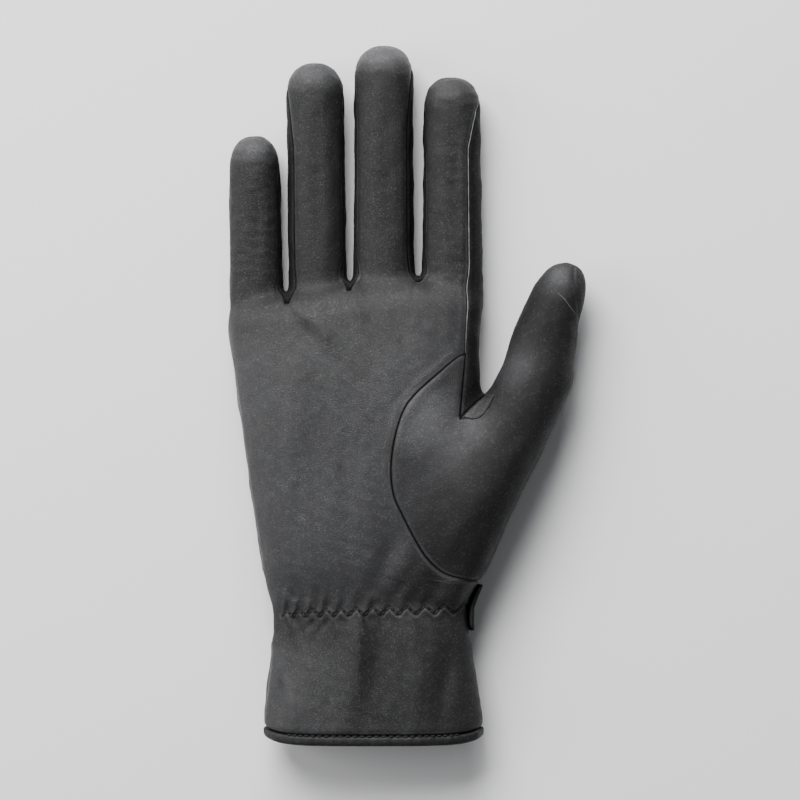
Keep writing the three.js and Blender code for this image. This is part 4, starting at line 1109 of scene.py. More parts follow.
def make_piece(name, points, faces, materials, face_material=None, marks=None):
    """A smooth mesh in metres, riding on the glove's one body."""
    mesh = bpy.data.meshes.new(name)
    mesh.from_pydata(((points + shift_to_frame()) / 1000).tolist(), [], faces)
    mesh.update()
    mesh.polygons.foreach_set("use_smooth", [True] * len(mesh.polygons))
    for material in materials:
        mesh.materials.append(material)
    if face_material is not None:
        mesh.polygons.foreach_set("material_index", face_material)
    for mark, values in (marks or {}).items():
        attribute = mesh.attributes.new(mark, "FLOAT", "POINT")
        attribute.data.foreach_set("value", np.asarray(values, np.float32))
    piece = bpy.data.objects.new(name, mesh)
    bpy.context.scene.collection.objects.link(piece)
    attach(piece, "root")
    return piece


def whole_faces(quads):
    """Faces without repeated corners, and without slivers that lie back to back."""
    faces = [list(dict.fromkeys(quad)) for quad in quads.tolist()]
    faces = sorted((face for face in faces if len(face) > 2), key=len, reverse=True)
    alike = Counter(frozenset(face) for face in faces)
    return [face for face in faces if alike[frozenset(face)] == 1]


def swell(distance, height, at, width):
    """A soft bulge of the leather beside a seam."""
    return height * np.exp(-((distance - at) / width) ** 2)


def leather_piece(name, node, grids, detail, material, seams=None, groove_depth=0.5):
    """A leather panel: outer skin with rolled seam edges, inner skin and the cut edge between."""
    points, quads = weld(grids)
    normals = outward(points)
    edges = open_edges(quads)
    base = points + inward_pull(points, normals, edges)
    samples = [mix(points[edges[:, 0]], points[edges[:, 1]], share) for share in (0, 0.25, 0.5, 0.75)]
    from_seam = distances(points, np.concatenate(samples))
    near = np.clip(1 - from_seam / (chosen().seam_width * 1000), 0, 1)
    roll = -chosen().seam_depth * 1000 * (1 - np.sqrt(1 - near ** 2))
    roll += swell(from_seam, 0.12, 2.1, 1.1)
    fade = soften(from_seam / 2.5)
    rise = roll + detail(points) * (0.35 + 0.65 * fade)
    if seams is not None:
        from_line = distances(points, seams)
        rise -= groove_depth * (swell(from_line, 1.0, 0.0, 0.6) - swell(from_line, 0.2, 1.8, 0.9))
        from_seam = np.minimum(from_seam, from_line)
    outer = base + normals * rise[:, None]
    outer[:, 2] = np.maximum(outer[:, 2], 0)
    inner = base - normals * LEATHER
    count = len(points)
    faces = whole_faces(quads)
    skin_faces = len(faces)
    faces += [[count + corner for corner in reversed(face)] for face in faces[:skin_faces]]
    faces += [[end, start, count + start, count + end] for start, end in edges.tolist()]
    inside = np.zeros(len(faces), int)
    inside[skin_faces:2 * skin_faces] = 1
    marks = {
        "seam": np.concatenate([from_seam, np.full(count, 0.0)]),
        "high": np.concatenate([rise, np.full(count, -0.5)]),
        "polish": np.tile(polish(points), 2),
    }
    points = np.concatenate([outer, inner])
    piece = make_piece(name, points, faces, [material, lining()], inside, marks)
    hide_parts(node)
    return piece


def tubes(name, paths, normals, across, high, material, slot, sides=8):
    """Threads or narrow strips along many paths of equal length, sunk at their ends."""
    paths = np.asarray(paths, float)
    run = np.gradient(paths, axis=1)
    run /= np.maximum(np.linalg.norm(run, axis=2), 1e-9)[..., None]
    side = np.cross(run, normals)
    side /= np.maximum(np.linalg.norm(side, axis=2), 1e-9)[..., None]
    count, length = paths.shape[:2]
    place = np.linspace(-1, 1, length)
    taper = np.sqrt(np.clip(1 - np.abs(place) ** 5, 0, 1))[None, :, None, None] * 0.98 + 0.02
    turn = np.arange(sides) / sides * 2 * math.pi
    rings = (side[:, :, None] * (across * np.cos(turn))[:, None]
             + normals[:, :, None] * (high * np.sin(turn))[:, None])
    points = (paths[:, :, None] + rings * taper).reshape(-1, 3)
    base = np.arange(count * length).reshape(count, length, 1) * sides
    here = base[:, :-1] + np.arange(sides)
    ahead = base[:, :-1] + (np.arange(sides) + 1) % sides
    faces = np.stack([here, ahead, ahead + sides, here + sides], axis=-1).reshape(-1, 4).tolist()
    for first in base[:, 0, 0]:
        faces.append((first + np.arange(sides))[::-1].tolist())
    for last in base[:, -1, 0]:
        faces.append((last + np.arange(sides)).tolist())
    return make_piece(name, points, faces, [material])


def on_leather(x, y, detail, height):
    """Places on the front of the dressed leather above given places, and their normals."""
    found = from_above(x, y)
    normals = outward(found)
    height = detail(found.reshape(-1, 3)).reshape(x.shape) + height
    return found + normals * height[..., None], normals


def ring_place(y, turn, height):
    """Places round the cuff by angle, at a height over the leather."""
    middle, half_width, half_height, level = hand_section(y)
    side = np.cos(turn)
    inner = places(middle + (half_width - half_height) * side, y, level)
    direction = places(side, 0, np.sin(turn))
    return reach(inner + direction * 3 * half_height[..., None], inner, height)


def closed_mesh(name, grid, material, node):
    """A closed ring or bar from rows of places round it."""
    points, quads = weld([grid])
    a, b, c, d = points[quads].transpose(1, 0, 2)
    volume = (a * np.cross(b, c)).sum() + (a * np.cross(c, d)).sum()
    if volume < 0:
        quads = quads[:, ::-1]
    piece = make_piece(name, points, whole_faces(quads), [material])
    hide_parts(node)
    return piece


# Finishes: how far the grain of leather and of thread stands out, in metres
GRAIN_RELIEF = 0.0002
THREAD_RELIEF = 0.0001


class Nodes:
    """Short ways to add nodes to one tree."""

    def __init__(self, tree):
        self.tree = tree

    def give(self, value, socket):
        """Links a socket's value to another socket, or sets a plain value on it."""
        if isinstance(value, bpy.types.NodeSocket):
            self.tree.links.new(value, socket)
        else:
            socket.default_value = value

    def add(self, kind, inputs=None, **settings):
        node = self.tree.nodes.new(kind)
        for key, value in settings.items():
            setattr(node, key, value)
        for key, value in (inputs or {}).items():
            self.give(value, node.inputs[key])
        return node

    def here(self):
        """Place on the piece, in metres."""
        return self.add("ShaderNodeTexCoord").outputs["Object"]

    def mark(self, name):
        """A value that the mesh carries at its points."""
        return self.add("ShaderNodeAttribute", attribute_name=name).outputs["Fac"]

    def noise(self, where, scale, detail, roughness=0.5):
        inputs = {"Vector": where, "Scale": scale, "Detail": detail, "Roughness": roughness}
        return self.add("ShaderNodeTexNoise", inputs).outputs

    def math(self, operation, first, second=0.0, clamp=False):
        inputs = {0: first, 1: second}
        return self.add("ShaderNodeMath", inputs, operation=operation, use_clamp=clamp).outputs[0]

    def remap(self, value, low, high, start, end, smooth=False):
        kind = "SMOOTHSTEP" if smooth else "LINEAR"
        inputs = {"Value": value, "From Min": low, "From Max": high, "To Min": start, "To Max": end}
        return self.add("ShaderNodeMapRange", inputs, interpolation_type=kind).outputs[0]

    def blend(self, share, first, second):
        node = self.add("ShaderNodeMix", data_type="RGBA")
        for index, value in ((0, share), (6, first), (7, second)):
            self.give(value, node.inputs[index])
        return node.outputs[2]

    def finish(self, shader, colour, roughness, height, strength, distance):
        """Gives a shader its colour, its roughness and its relief."""
        relief = self.add("ShaderNodeBump", {"Height": height, "Strength": strength, "Distance": distance})
        self.give(colour, shader.inputs["Base Color"])
        self.give(roughness, shader.inputs["Roughness"])
        self.give(relief.outputs[0], shader.inputs["Normal"])


def new_group(name, inputs, outputs):
    """An empty node group with named sockets, its nodes, its input node and its output node."""
    tree = bpy.data.node_groups.new(name, "ShaderNodeTree")
    for label, default in inputs.items():
        socket = tree.interface.new_socket(label, in_out="INPUT", socket_type="NodeSocketFloat")
        socket.default_value = default
    for label in outputs:
        tree.interface.new_socket(label, in_out="OUTPUT", socket_type="NodeSocketFloat")
    nodes = Nodes(tree)
    return tree, nodes, nodes.add("NodeGroupInput"), nodes.add("NodeGroupOutput")


def grain_group():
    """Pebbles and pores of leather: their height, and a light or dark share for each pebble."""
    tree = bpy.data.node_groups.get("Leather grain")
    if tree:
        return tree
    tree, nodes, given, made = new_group(
        "Leather grain", {"Pebbles per metre": 1500.0}, ["Height", "Speckle"])
    where = nodes.here()
    scale = given.outputs["Pebbles per metre"]
    warp = nodes.noise(where, 700.0, 1.0)["Color"]
    bend = nodes.add("ShaderNodeVectorMath", {0: warp, 1: (0.0003, 0.0003, 0.0003)}, operation="MULTIPLY")
    moved = nodes.add("ShaderNodeVectorMath", {0: where, 1: bend.outputs[0]}, operation="ADD").outputs[0]
    cells = {"Vector": moved, "Scale": scale}
    edge = nodes.add("ShaderNodeTexVoronoi", cells, feature="DISTANCE_TO_EDGE").outputs["Distance"]
    cell = nodes.add("ShaderNodeTexVoronoi", cells, feature="F1").outputs["Color"]
    fine = nodes.noise(where, nodes.math("MULTIPLY", scale, 1.7), 2.0)[0]
    pebble = nodes.remap(edge, 0.0, 0.32, 0.0, 1.0, smooth=True)
    height = nodes.math("ADD", nodes.math("MULTIPLY", pebble, 0.7), nodes.math("MULTIPLY", fine, 0.3))
    tint = nodes.add("ShaderNodeSeparateColor", {0: cell}).outputs[0]
    speckle = nodes.math("MULTIPLY", nodes.remap(tint, 0.6, 1.0, 0.0, 1.0), pebble)
    nodes.give(height, made.inputs["Height"])
    nodes.give(speckle, made.inputs["Speckle"])
    return tree


def tone_and_painted_light_group():
    """Clouds of lighter and darker leather, a painted highlight on the shoulder beside a seam and on raised
    ridges, and painted shade inside seams and hollows.
    """
    tree = bpy.data.node_groups.get("Leather tone")
    if tree:
        return tree
    tree, nodes, _, made = new_group("Leather tone", {}, ["Cloud", "Worn", "Deep"])
    where = nodes.here()
    broad = nodes.noise(where, 42.0, 2.0, 0.55)[0]
    small = nodes.noise(where, 260.0, 3.0, 0.6)[0]
    both = nodes.math("ADD", nodes.math("MULTIPLY", broad, 0.62), nodes.math("MULTIPLY", small, 0.38))
    cloud = nodes.remap(both, 0.34, 0.66, 0.0, 1.0, smooth=True)
    seam = nodes.mark("seam")
    high = nodes.mark("high")
    # Painted highlight on the shoulder beside a seam and on raised ridges
    shoulder = nodes.math("MULTIPLY", nodes.remap(seam, 0.35, 0.75, 0.0, 1.0, smooth=True),
                          nodes.remap(seam, 0.8, 1.7, 1.0, 0.0, smooth=True))
    ridge = nodes.remap(high, 0.25, 1.1, 0.0, 0.8, smooth=True)
    painted_ridge_highlight = nodes.math("MAXIMUM", nodes.math("MULTIPLY", shoulder, cloud), ridge)
    # Painted shade inside the seam and in hollows
    painted_shade = nodes.remap(seam, 0.05, 0.4, 1.0, 0.0, smooth=True)
    hollow = nodes.remap(high, -0.7, -0.25, 0.8, 0.0, smooth=True)
    for label, value in (("Cloud", cloud), ("Worn", painted_ridge_highlight), ("Deep", nodes.math("MAXIMUM", painted_shade, hollow))):
        nodes.give(value, made.inputs[label])
    return tree


def shade(colour, times):
    """A colour made lighter or darker."""
    return tuple(min(1.0, channel * times) for channel in colour[:3]) + (1.0,)


def new_material(name):
    """An empty material, its nodes and its shader."""
    material = bpy.data.materials.new(name)
    material.use_nodes = True
    material.node_tree.nodes.clear()
    nodes = Nodes(material.node_tree)
    shader = nodes.add("ShaderNodeBsdfPrincipled")
    output = nodes.add("ShaderNodeOutputMaterial", {"Surface": shader.outputs[0]})
    output.location = (300, 0)
    return material, nodes, shader


def leather(name, colour, pebbles, bump=0.5, roughness=(0.40, 0.48), speckle=0.6, marked=True,
            reflection=0.3):
    """Black leather with grain and clouds of tone, painted light and shade from the mark of painted light,
    a painted highlight on raised ridges and seam shoulders, and painted shade in seams and hollows.
    """
    if name in bpy.data.materials:
        return bpy.data.materials[name]
    material, nodes, shader = new_material(name)
    grain = nodes.add("ShaderNodeGroup", node_tree=grain_group())
    grain.inputs["Pebbles per metre"].default_value = pebbles
    tone = nodes.add("ShaderNodeGroup", node_tree=tone_and_painted_light_group())
    cloud, painted_ridge_highlight, painted_shade = (tone.outputs[label] for label in ("Cloud", "Worn", "Deep"))
    speck = grain.outputs["Speckle"]
    painted_light_share = nodes.mark("polish")
    base = nodes.blend(cloud, shade(colour, 0.88), shade(colour, 1.14))
    # Painted shade: where the painted light is low the leather is blended most of the way to near black
    base = nodes.blend(nodes.remap(painted_light_share, 0.0, 1.0, 0.78, 0.0), base, shade(colour, 0.08))
    # The grain's speckle is weaker in the painted shade
    spots = nodes.math("MULTIPLY", speck, nodes.remap(painted_light_share, 0.0, 1.0, 0.65, 1.0))
    base = nodes.blend(nodes.math("MULTIPLY", spots, speckle), base, shade(colour, 3.0))
    rough = nodes.remap(cloud, 0.0, 1.0, roughness[1], roughness[0])
    rough = nodes.math("SUBTRACT", rough, nodes.math("MULTIPLY", speck, 0.10))
    rough = nodes.math("ADD", rough, nodes.remap(painted_light_share, 0.0, 1.0, 0.12, 0.0))
    if marked:
        # Painted highlight on raised ridges and seam shoulders, and painted shade in seams and hollows
        base = nodes.blend(nodes.math("MULTIPLY", painted_ridge_highlight, 0.5), base, shade(colour, 2.2))
        base = nodes.blend(nodes.math("MULTIPLY", painted_shade, 0.85), base, shade(colour, 0.12))
        rough = nodes.math("ADD", rough, nodes.math("MULTIPLY", painted_shade, 0.3), clamp=True)
    # Painted highlight: the colour grows up to 2.6 times where the painted light passes 1
    painted_highlight = nodes.remap(painted_light_share, 1.0, 2.0, 1.0, 2.6)
    base = nodes.add("ShaderNodeVectorMath", {0: base, "Scale": painted_highlight}, operation="SCALE").outputs[0]
    nodes.finish(shader, base, rough, grain.outputs["Height"], bump, GRAIN_RELIEF)
    shader.inputs["Specular IOR Level"].default_value = reflection
    return material


def lining():
    """Flesh side of the leather, seen in the mouth of the cuff: a short dull nap."""
    if "Flesh side" in bpy.data.materials:
        return bpy.data.materials["Flesh side"]
    material, nodes, shader = new_material("Flesh side")
    colour = chosen().lining_colour
    where = nodes.here()
    nap = nodes.noise(where, 1800.0, 4.0, 0.7)[0]
    share = nodes.math("MULTIPLY", nap, nodes.noise(where, 90.0, 2.0)[0])
    tint = nodes.blend(nodes.remap(share, 0.12, 0.4, 0.0, 1.0), shade(colour, 0.6), shade(colour, 1.5))
    nodes.finish(shader, tint, 0.95, nap, 0.6, GRAIN_RELIEF)
    return material


def thread(name, colour, strands=2600.0, roughness=0.75):
    """Twisted thread, a raw cut edge and the painted highlight along the thumb's crease: fine bands and
    uneven tone.
    """
    if name in bpy.data.materials:
        return bpy.data.materials[name]
    material, nodes, shader = new_material(name)
    where = nodes.here()
    fibre = nodes.noise(where, strands, 3.0)[0]
    patch = nodes.noise(where, 240.0, 3.0, 0.7)[0]
    share = nodes.math("MULTIPLY", nodes.remap(fibre, 0.3, 0.7, 0.4, 1.0),
                       nodes.remap(patch, 0.35, 0.65, 0.0, 1.0), clamp=True)
    tint = nodes.blend(share, shade(colour, 0.45), shade(colour, 1.4))
    nodes.finish(shader, tint, roughness, fibre, 0.5, THREAD_RELIEF)
    return material


def palm_leather():
    return leather("Palm leather", chosen().leather_colour, 2100.0)


def back_leather():
    return leather("Back leather", chosen().leather_colour, 2100.0)


# The strips' own slightly darker leather, made darker still as painted shade on the sides of the fingers
def strip_leather():
    return leather("Strip leather", chosen().strip_colour_and_painted_shade, 1700.0, 0.5, (0.56, 0.64), 1.4,
                   reflection=0.2)


def thumb_leather():
    return leather("Thumb leather", shade(chosen().leather_colour, 0.92), 1600.0, 0.6, (0.46, 0.56), 0.4,
                   reflection=0.2)


def binding_leather():
    return leather("Binding leather", shade(chosen().leather_colour, 0.9), 1700.0, 0.35, (0.38, 0.52),
                   0.35, marked=False)


def strap_leather():
    return leather("Strap leather", shade(chosen().thread_colour, 1.1), 1500.0, 0.3, (0.5, 0.62), 0.3,
                   marked=False)


def sewing_thread():
    return thread("Thread", chosen().thread_colour)


# Settings
def size_setting(name, description, default, smallest):
    return bpy.props.FloatProperty(name=name, description=description, default=default, min=smallest,
                                   unit="LENGTH", subtype="DISTANCE", precision=5)


def colour_setting(name, description, default):
    return bpy.props.FloatVectorProperty(name=name, description=description, default=default, min=0.0,
                                         max=1.0, subtype="COLOR", size=3)


def power_setting(name, description, default):
    return bpy.props.FloatProperty(name=name, description=description, default=default, min=0.0,
                                   unit="POWER")


class GloveLooks(bpy.types.PropertyGroup):
    """Sizes and colours that can be changed before the glove is built."""

    seam_depth: size_setting(
        "Seam depth", "How far the leather rolls down into a seam", 0.0004, 0.0)
    seam_width: size_setting(
        "Seam width", "Width of the rolled shoulder on each side of a seam", 0.0008, 0.0002)
    pucker_height: size_setting(
        "Pucker height", "Height of the gathers beside the wrist's elastic", 0.00045, 0.0)
    wrinkle_height: size_setting(
        "Wrinkle height", "Unevenness of the leather between the seams", 0.00013, 0.0)
    thread_width: size_setting(
        "Thread width", "Width of the sewing thread", 0.0005, 0.0001)
    raw_edge_width: size_setting(
        "Raw edge width", "Width of the cut edge that shows along the first finger", 0.00032, 0.0001)
    leather_colour: colour_setting(
        "Leather", "Colour of the palm, back and thumb", (0.029, 0.029, 0.0303))
    # The strips' own slightly darker leather, made darker still as painted shade on the sides of the
    # fingers
    strip_colour_and_painted_shade: colour_setting(
        "Strips", "Colour of the strips along the fingers", (0.007, 0.007, 0.0074))
    thread_colour: colour_setting(
        "Thread", "Colour of the sewing thread", (0.006, 0.006, 0.0065))
    raw_edge_colour: colour_setting(
        "Raw edge", "Colour of the cut edge of the leather", (0.20, 0.20, 0.215))
    lining_colour: colour_setting(
        "Flesh side", "Colour of the leather's inside", (0.03, 0.029, 0.029))
    floor_colour: colour_setting(
        "Floor", "Colour of the floor", (0.93, 0.93, 0.935))
    key_power: power_setting(
        "Key light", "Power of the large soft light beyond the fingertips", 42.0)
    tip_power: power_setting(
        "Tip light", "Power of the low light that brightens the fingertips", 14.0)
    side_power: power_setting(
        "Side light", "Power of the soft light on the little finger's side", 11.0)


# Raw edge, threads and binding, in millimetres: unevenness, how deep threads lie and how the rolled
# leather swells. The profile is from its fold under the cuff: share of its depth, share of its height.
RAW_EDGE_LIFT = 0.02
RAW_EDGE_SWAY = (0.04, 4.0, 9, 21)
THREAD_SUNK = 0.2
TIP_SEAM_SHOWN = 26
# Width and height of the light tube that paints the highlight along the thumb's crease
CREASE_SIZE = (0.13, 0.1)
BINDING_PROFILE = np.array([
    (1.00, 0.70), (0.97, 0.84), (0.88, 0.94), (0.70, 0.99), (0.45, 1.00), (0.25, 0.97), (0.10, 0.88),
    (0.02, 0.74), (0.00, 0.58), (0.00, 0.42), (0.03, 0.26), (0.12, 0.12), (0.30, 0.02), (0.60, 0.00),
    (1.45, 0.02), (1.50, 0.10), (1.45, 0.20), (1.00, 0.24), (1.00, 0.70),
])
BINDING_STEPS = 361
BINDING_FOLDS = (0.10, 62)
BINDING_WAVES = ((0.08, 17, 1), (0.06, 29, 2))
HEM_STITCHES = 96
STITCH_POINTS = 7
STITCH_ARCH = 0.28
ZIGZAG_STITCH_POINTS = 9
ZIGZAG_ARCH = 0.2
STRAP_STEPS = 41
STRAP_ALONG_STEPS = 52
STRAP_END_RUN = 3.2
STRAP_END = np.array([0, 0.04, 0.12, 0.25, 0.45, 0.75, 1.1, 1.6, 2.2])

# Stage, in metres: lights with their place, size and setting, and the camera straight above
FLOOR_REACH = 3.0
FLOOR_DROP = 0.0002
LIGHTS = (
    ("Key light", (-0.45, 1.02, 1.0), 0.9, "key_power"),
    ("Tip light", (0.05, 1.45, 0.72), 0.55, "tip_power"),
    ("Side light", (-1.2, 0.1, 0.75), 0.85, "side_power"),
)
SKY_COLOUR = (0.9, 0.92, 0.95, 1)
SKY_STRENGTH = 0.16
LENS = 135
SENSOR = 36
FRAME_WIDTH = 0.2754
FRAME_LEVEL = 0.012
FRAME_MIDDLE = (-0.00264, -0.0022)


# Operators
class GLOVE_OT_palm(bpy.types.Operator):
    """Builds the palm with the four finger fronts"""
    bl_idname = "glove.palm"
    bl_label = "Palm"

    def execute(self, context):
        rows = panels()
        leather_piece("palm_leather", "palm_panel", [rows["palm"], *rows["front"]], palm_detail,
                      palm_leather(), zigzag_line(), 0.0)
        return {"FINISHED"}


class GLOVE_OT_back(bpy.types.Operator):
    """Builds the back of the hand with the four finger backs"""
    bl_idname = "glove.back"
    bl_label = "Back"

    def execute(self, context):
        rows = panels()
        leather_piece("back_leather", "back_panel", [rows["back_hand"], *rows["back"]], plain_detail,
                      back_leather())
        return {"FINISHED"}


class GLOVE_OT_finger_strips(bpy.types.Operator):
    """Builds the strips between the fingers and down the first finger, with its raw edge"""
    bl_idname = "glove.finger_strips"
    bl_label = "Finger strips"

    def execute(self, context):
        rows = panels()
        strips = [(f"strip_{name}", f"fourchette_{name}", grid) for name, grid in zip(
            ("little_ring", "ring_middle", "middle_index"), rows["fourchettes"])]
        for name, node, grid in (*strips, ("strip_index_side", "index_side_strip", rows["side_strip"])):
            leather_piece(name, node, [grid], plain_detail, strip_leather())
        line = np.concatenate([
            rows["front"][-1][POINT_ROW::-1, -1], rows["palm"][ROW_KNUCKLE:-1, -1][::-1]])
        fine = np.linspace(0, len(line) - 1, 4 * len(line))
        path = np.stack([np.interp(fine, np.arange(len(line)), line[:, axis]) for axis in range(3)], axis=1)
        normals = outward(path)
        sway, *waves = RAW_EDGE_SWAY
        path += normals * (RAW_EDGE_LIFT + sway * ripples(path, *waves))[:, None]
        width = chosen().raw_edge_width * 500
        edge = thread("Raw edge", chosen().raw_edge_colour, 1500.0, 0.85)
        tubes("index_raw_edge", [path], normals[None], width, width * 1.1, edge, "strip_leather")
        return {"FINISHED"}


class GLOVE_OT_thumb(bpy.types.Operator):
    """Builds the thumb with its ball, the seam over its tip and the painted highlight along its fine crease
    """
    bl_idname = "glove.thumb"
    bl_label = "Thumb"

    def execute(self, context):
        rows = panels()
        sewn = thumb_seam_line()
        leather_piece("thumb_leather", "thumb", [rows["ball"], rows["horn"], rows["thumb_rings"]],
                      thumb_detail, thumb_leather(), sewn)
        across = chosen().thread_width * 300
        lines = {"thumb_tip_seam": sewn[:TIP_SEAM_SHOWN], "thumb_bow_seam": sewn[-BOW_POINTS:]}
        for name, line in lines.items():
            up = outward(line)
            tubes(name, [line - THREAD_SUNK * up], up[None], across, across, sewing_thread(),
                  "thumb_leather")
        # Painted highlight: a light tube along the thumb's fine crease
        path, normals = on_leather(*line_seen(THUMB_CREASE, 40), thumb_detail, 0.0)
        crease = thread("Thumb crease", shade(chosen().leather_colour, 3.0), 1500.0, 0.7)
        tubes("thumb_crease", [path], normals[None], *CREASE_SIZE, crease, "thumb_leather")
        return {"FINISHED"}


class GLOVE_OT_hem(bpy.types.Operator):
    """Builds the rolled binding round the mouth of the cuff, with its stitches"""
    bl_idname = "glove.hem"
    bl_label = "Hem binding"

    def execute(self, context):
        depth, high = BINDING_PROFILE[:, :1], BINDING_PROFILE[:, 1:]
        turn = np.linspace(0, 2 * math.pi, BINDING_STEPS)[None]
        y = np.broadcast_to(depth * (BINDING_DEPTH - SEAM_GAP / 2), (len(depth), BINDING_STEPS))
        rise, folds = BINDING_FOLDS
        uneven = rise * np.sin(turn * folds) * (high > 0.6) * depth
        for rise, waves, start in BINDING_WAVES:
            uneven = uneven + rise * np.sin(turn * waves + start)
        height = BINDING_PROUD - BINDING_THICKNESS * (1 - high) + uneven * (high > 0.5)
        grid = round_mouth(ring_place(y, turn, height))
        grid[..., 2] = np.maximum(grid[..., 2], 0)
        closed_mesh("hem_leather", grid, binding_leather(), "hem_binding")
        share = np.linspace(0.10, 0.90, STITCH_POINTS)
        turn = (np.arange(HEM_STITCHES)[:, None] + share[None]) / HEM_STITCHES * 2 * math.pi
        lift = BINDING_PROUD - 0.4 + STITCH_ARCH * np.sin((share - 0.1) / 0.8 * math.pi)
        y = np.full(turn.shape, BINDING_DEPTH + 0.05)
        path = round_mouth(ring_place(y, turn, np.broadcast_to(lift, turn.shape)))
        flat = np.abs(path[:, 0, 0] - path[:, -1, 0]) > 1.4
        path = path[flat & (path[:, 3, 2] > 0.6)]
        width = chosen().thread_width * 500
        tubes("hem_stitches", path, outward(path), width, width, sewing_thread(), "binding_leather")
        return {"FINISHED"}


class GLOVE_OT_zigzag(bpy.types.Operator):
    """Sews the zigzag of the wrist's elastic"""
    bl_idname = "glove.zigzag"
    bl_label = "Wrist zigzag"

    def execute(self, context):
        corners = np.concatenate([[-0.4], np.arange(0, 2 * ZIGZAG_TEETH) / 2, [ZIGZAG_TEETH]])
        share = np.linspace(0.02, 0.98, ZIGZAG_STITCH_POINTS)
        along = np.tile([share * 0.5, 0.5 + share * 0.5], (len(corners) - 1, 1))
        start, end = (np.repeat(part, 2)[:, None] for part in (corners[:-1], corners[1:]))
        x = mix(tooth_x(start), tooth_x(end), along)
        y = mix(zigzag_y(start), zigzag_y(end), along)
        height = 0.05 + ZIGZAG_ARCH * np.sin(share * math.pi)
        path, normals = on_leather(x, y, palm_detail, height)
        width = chosen().thread_width * 600
        tubes("zigzag_stitches", path, normals, width, width, sewing_thread(), "palm_leather")
        return {"FINISHED"}


class GLOVE_OT_wrist_tab(bpy.types.Operator):
    """Builds the end of the strap that shows beside the wrist"""
    bl_idname = "glove.wrist_tab"
    bl_label = "Wrist tab"

    def execute(self, context):
        radius = hand_section(np.array(STRAP_ALONG * GLOVE_LENGTH))[2]
        length = (STRAP_WRAP + math.pi / 2) * radius + STRAP_REACH
        middle_run = np.linspace(STRAP_END_RUN, length - STRAP_END_RUN, STRAP_ALONG_STEPS)
        run = np.concatenate([STRAP_END, middle_run, length - STRAP_END[::-1]])
        from_end = np.minimum(run, length - run)
        corner, edge = (1 - np.clip(1 - from_end / size, 0, 1) ** 2 for size in (STRAP_CORNER, STRAP_EDGE))
        round_width = 1 - STRAP_CORNER / (STRAP_WIDTH / 2) * (1 - np.sqrt(corner))
        turn = np.linspace(0, 2 * math.pi, STRAP_STEPS)[None]
        across = signed_power(np.cos(turn), 0.30) * round_width[:, None]
        crown = 0.5 * signed_power(np.sin(turn), 0.6) * np.sqrt(edge)[:, None]
        height = STRAP_CLEARANCE + STRAP_THICKNESS * (0.5 + crown)
        y = STRAP_ALONG * GLOVE_LENGTH + across * STRAP_WIDTH / 2
        on = run[:, None] - STRAP_WRAP * radius
        bend = np.minimum(on / radius, math.pi / 2)
        past = np.maximum(on - math.pi / 2 * radius, 0)
        middle, half_width, half_height, level = hand_section(y)
        inner = places(middle + half_width - half_height - past, y, level)
        direction = places(np.cos(bend), 0, -np.sin(bend)) * 3 * half_height[..., None]
        grid = reach(inner + direction, inner, height)
        closed_mesh("wrist_tab_leather", grid, strap_leather(), "wrist_tab")
        return {"FINISHED"}


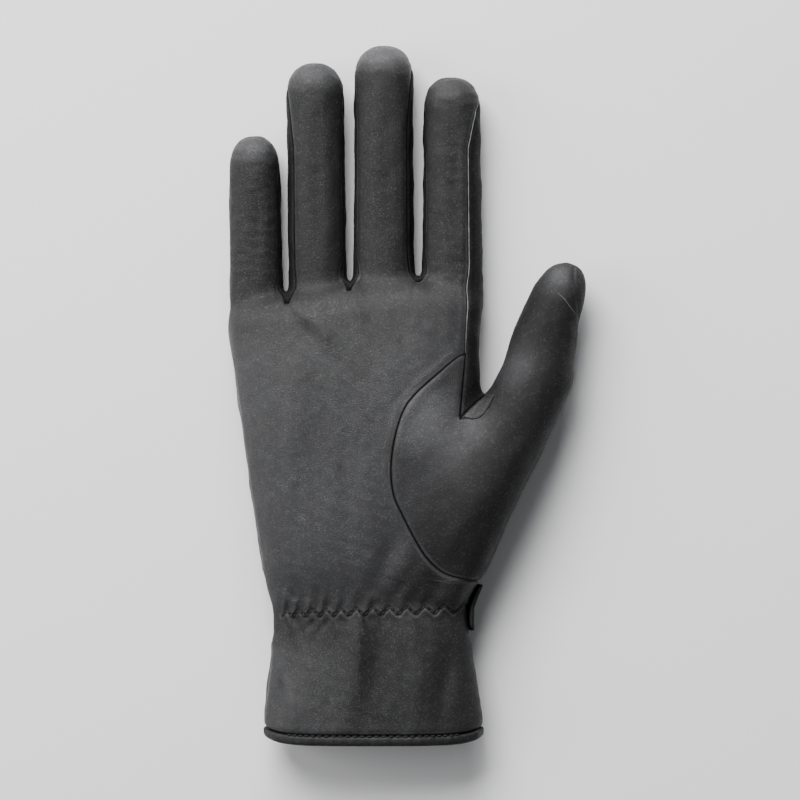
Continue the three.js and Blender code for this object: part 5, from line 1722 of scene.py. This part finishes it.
class GLOVE_OT_stage(bpy.types.Operator):
    """Sets the pale floor, the soft lights and the camera above the palm"""
    bl_idname = "glove.stage"
    bl_label = "Stage"

    def execute(self, context):
        scene = context.scene
        mesh = bpy.data.meshes.new("floor")
        corners = [(x * FLOOR_REACH, y * FLOOR_REACH, 0) for x, y in ((-1, -1), (1, -1), (1, 1), (-1, 1))]
        mesh.from_pydata(corners, [], [(0, 1, 2, 3)])
        floor = bpy.data.objects.new("floor", mesh)
        floor.location.z = -FLOOR_DROP
        scene.collection.objects.link(floor)
        material, _, shader = new_material("Floor")
        shader.inputs["Base Color"].default_value = (*chosen().floor_colour, 1.0)
        shader.inputs["Roughness"].default_value = 0.9
        shader.inputs["Specular IOR Level"].default_value = 0.1
        mesh.materials.append(material)
        for name, place, width, power in LIGHTS:
            light = bpy.data.lights.new(name, "AREA")
            light.energy = getattr(chosen(), power)
            light.shape = "SQUARE"
            light.size = width
            lamp = bpy.data.objects.new(name, light)
            lamp.location = place
            lamp.rotation_euler = (-Vector(place)).to_track_quat("-Z", "Y").to_euler()
            scene.collection.objects.link(lamp)
        world = bpy.data.worlds.new("Studio")
        world.use_nodes = True
        sky = world.node_tree.nodes["Background"]
        sky.inputs[0].default_value = SKY_COLOUR
        sky.inputs[1].default_value = SKY_STRENGTH
        scene.world = world
        camera_data = bpy.data.cameras.new("Camera")
        camera_data.lens = LENS
        camera_data.sensor_width = SENSOR
        camera = bpy.data.objects.new("Camera", camera_data)
        camera.location = (*FRAME_MIDDLE, FRAME_LEVEL + FRAME_WIDTH * LENS / SENSOR)
        scene.collection.objects.link(camera)
        scene.camera = camera
        return {"FINISHED"}


class GLOVE_PT_panel(bpy.types.Panel):
    """Lists the glove's pieces and settings"""
    bl_label = "Riding glove"
    bl_idname = "GLOVE_PT_panel"
    bl_space_type = "VIEW_3D"
    bl_region_type = "UI"
    bl_category = "Glove"

    def draw(self, context):
        layout = self.layout
        for name in GloveLooks.__annotations__:
            layout.prop(context.scene.glove_looks, name)
        for operator in OPERATORS:
            layout.operator(operator.bl_idname)


OPERATORS = (
    GLOVE_OT_stage, GLOVE_OT_palm, GLOVE_OT_back, GLOVE_OT_finger_strips, GLOVE_OT_thumb, GLOVE_OT_hem,
    GLOVE_OT_zigzag, GLOVE_OT_wrist_tab,
)


def register():
    for kind in (GloveLooks, *OPERATORS, GLOVE_PT_panel):
        bpy.utils.register_class(kind)
    bpy.types.Scene.glove_looks = bpy.props.PointerProperty(type=GloveLooks)


def unregister():
    del bpy.types.Scene.glove_looks
    for kind in reversed((GloveLooks, *OPERATORS, GLOVE_PT_panel)):
        bpy.utils.unregister_class(kind)


def main():
    register()
    for operator in OPERATORS:
        group, name = operator.bl_idname.split(".")
        getattr(getattr(bpy.ops, group), name)()


if __name__ == "__main__":
    main()
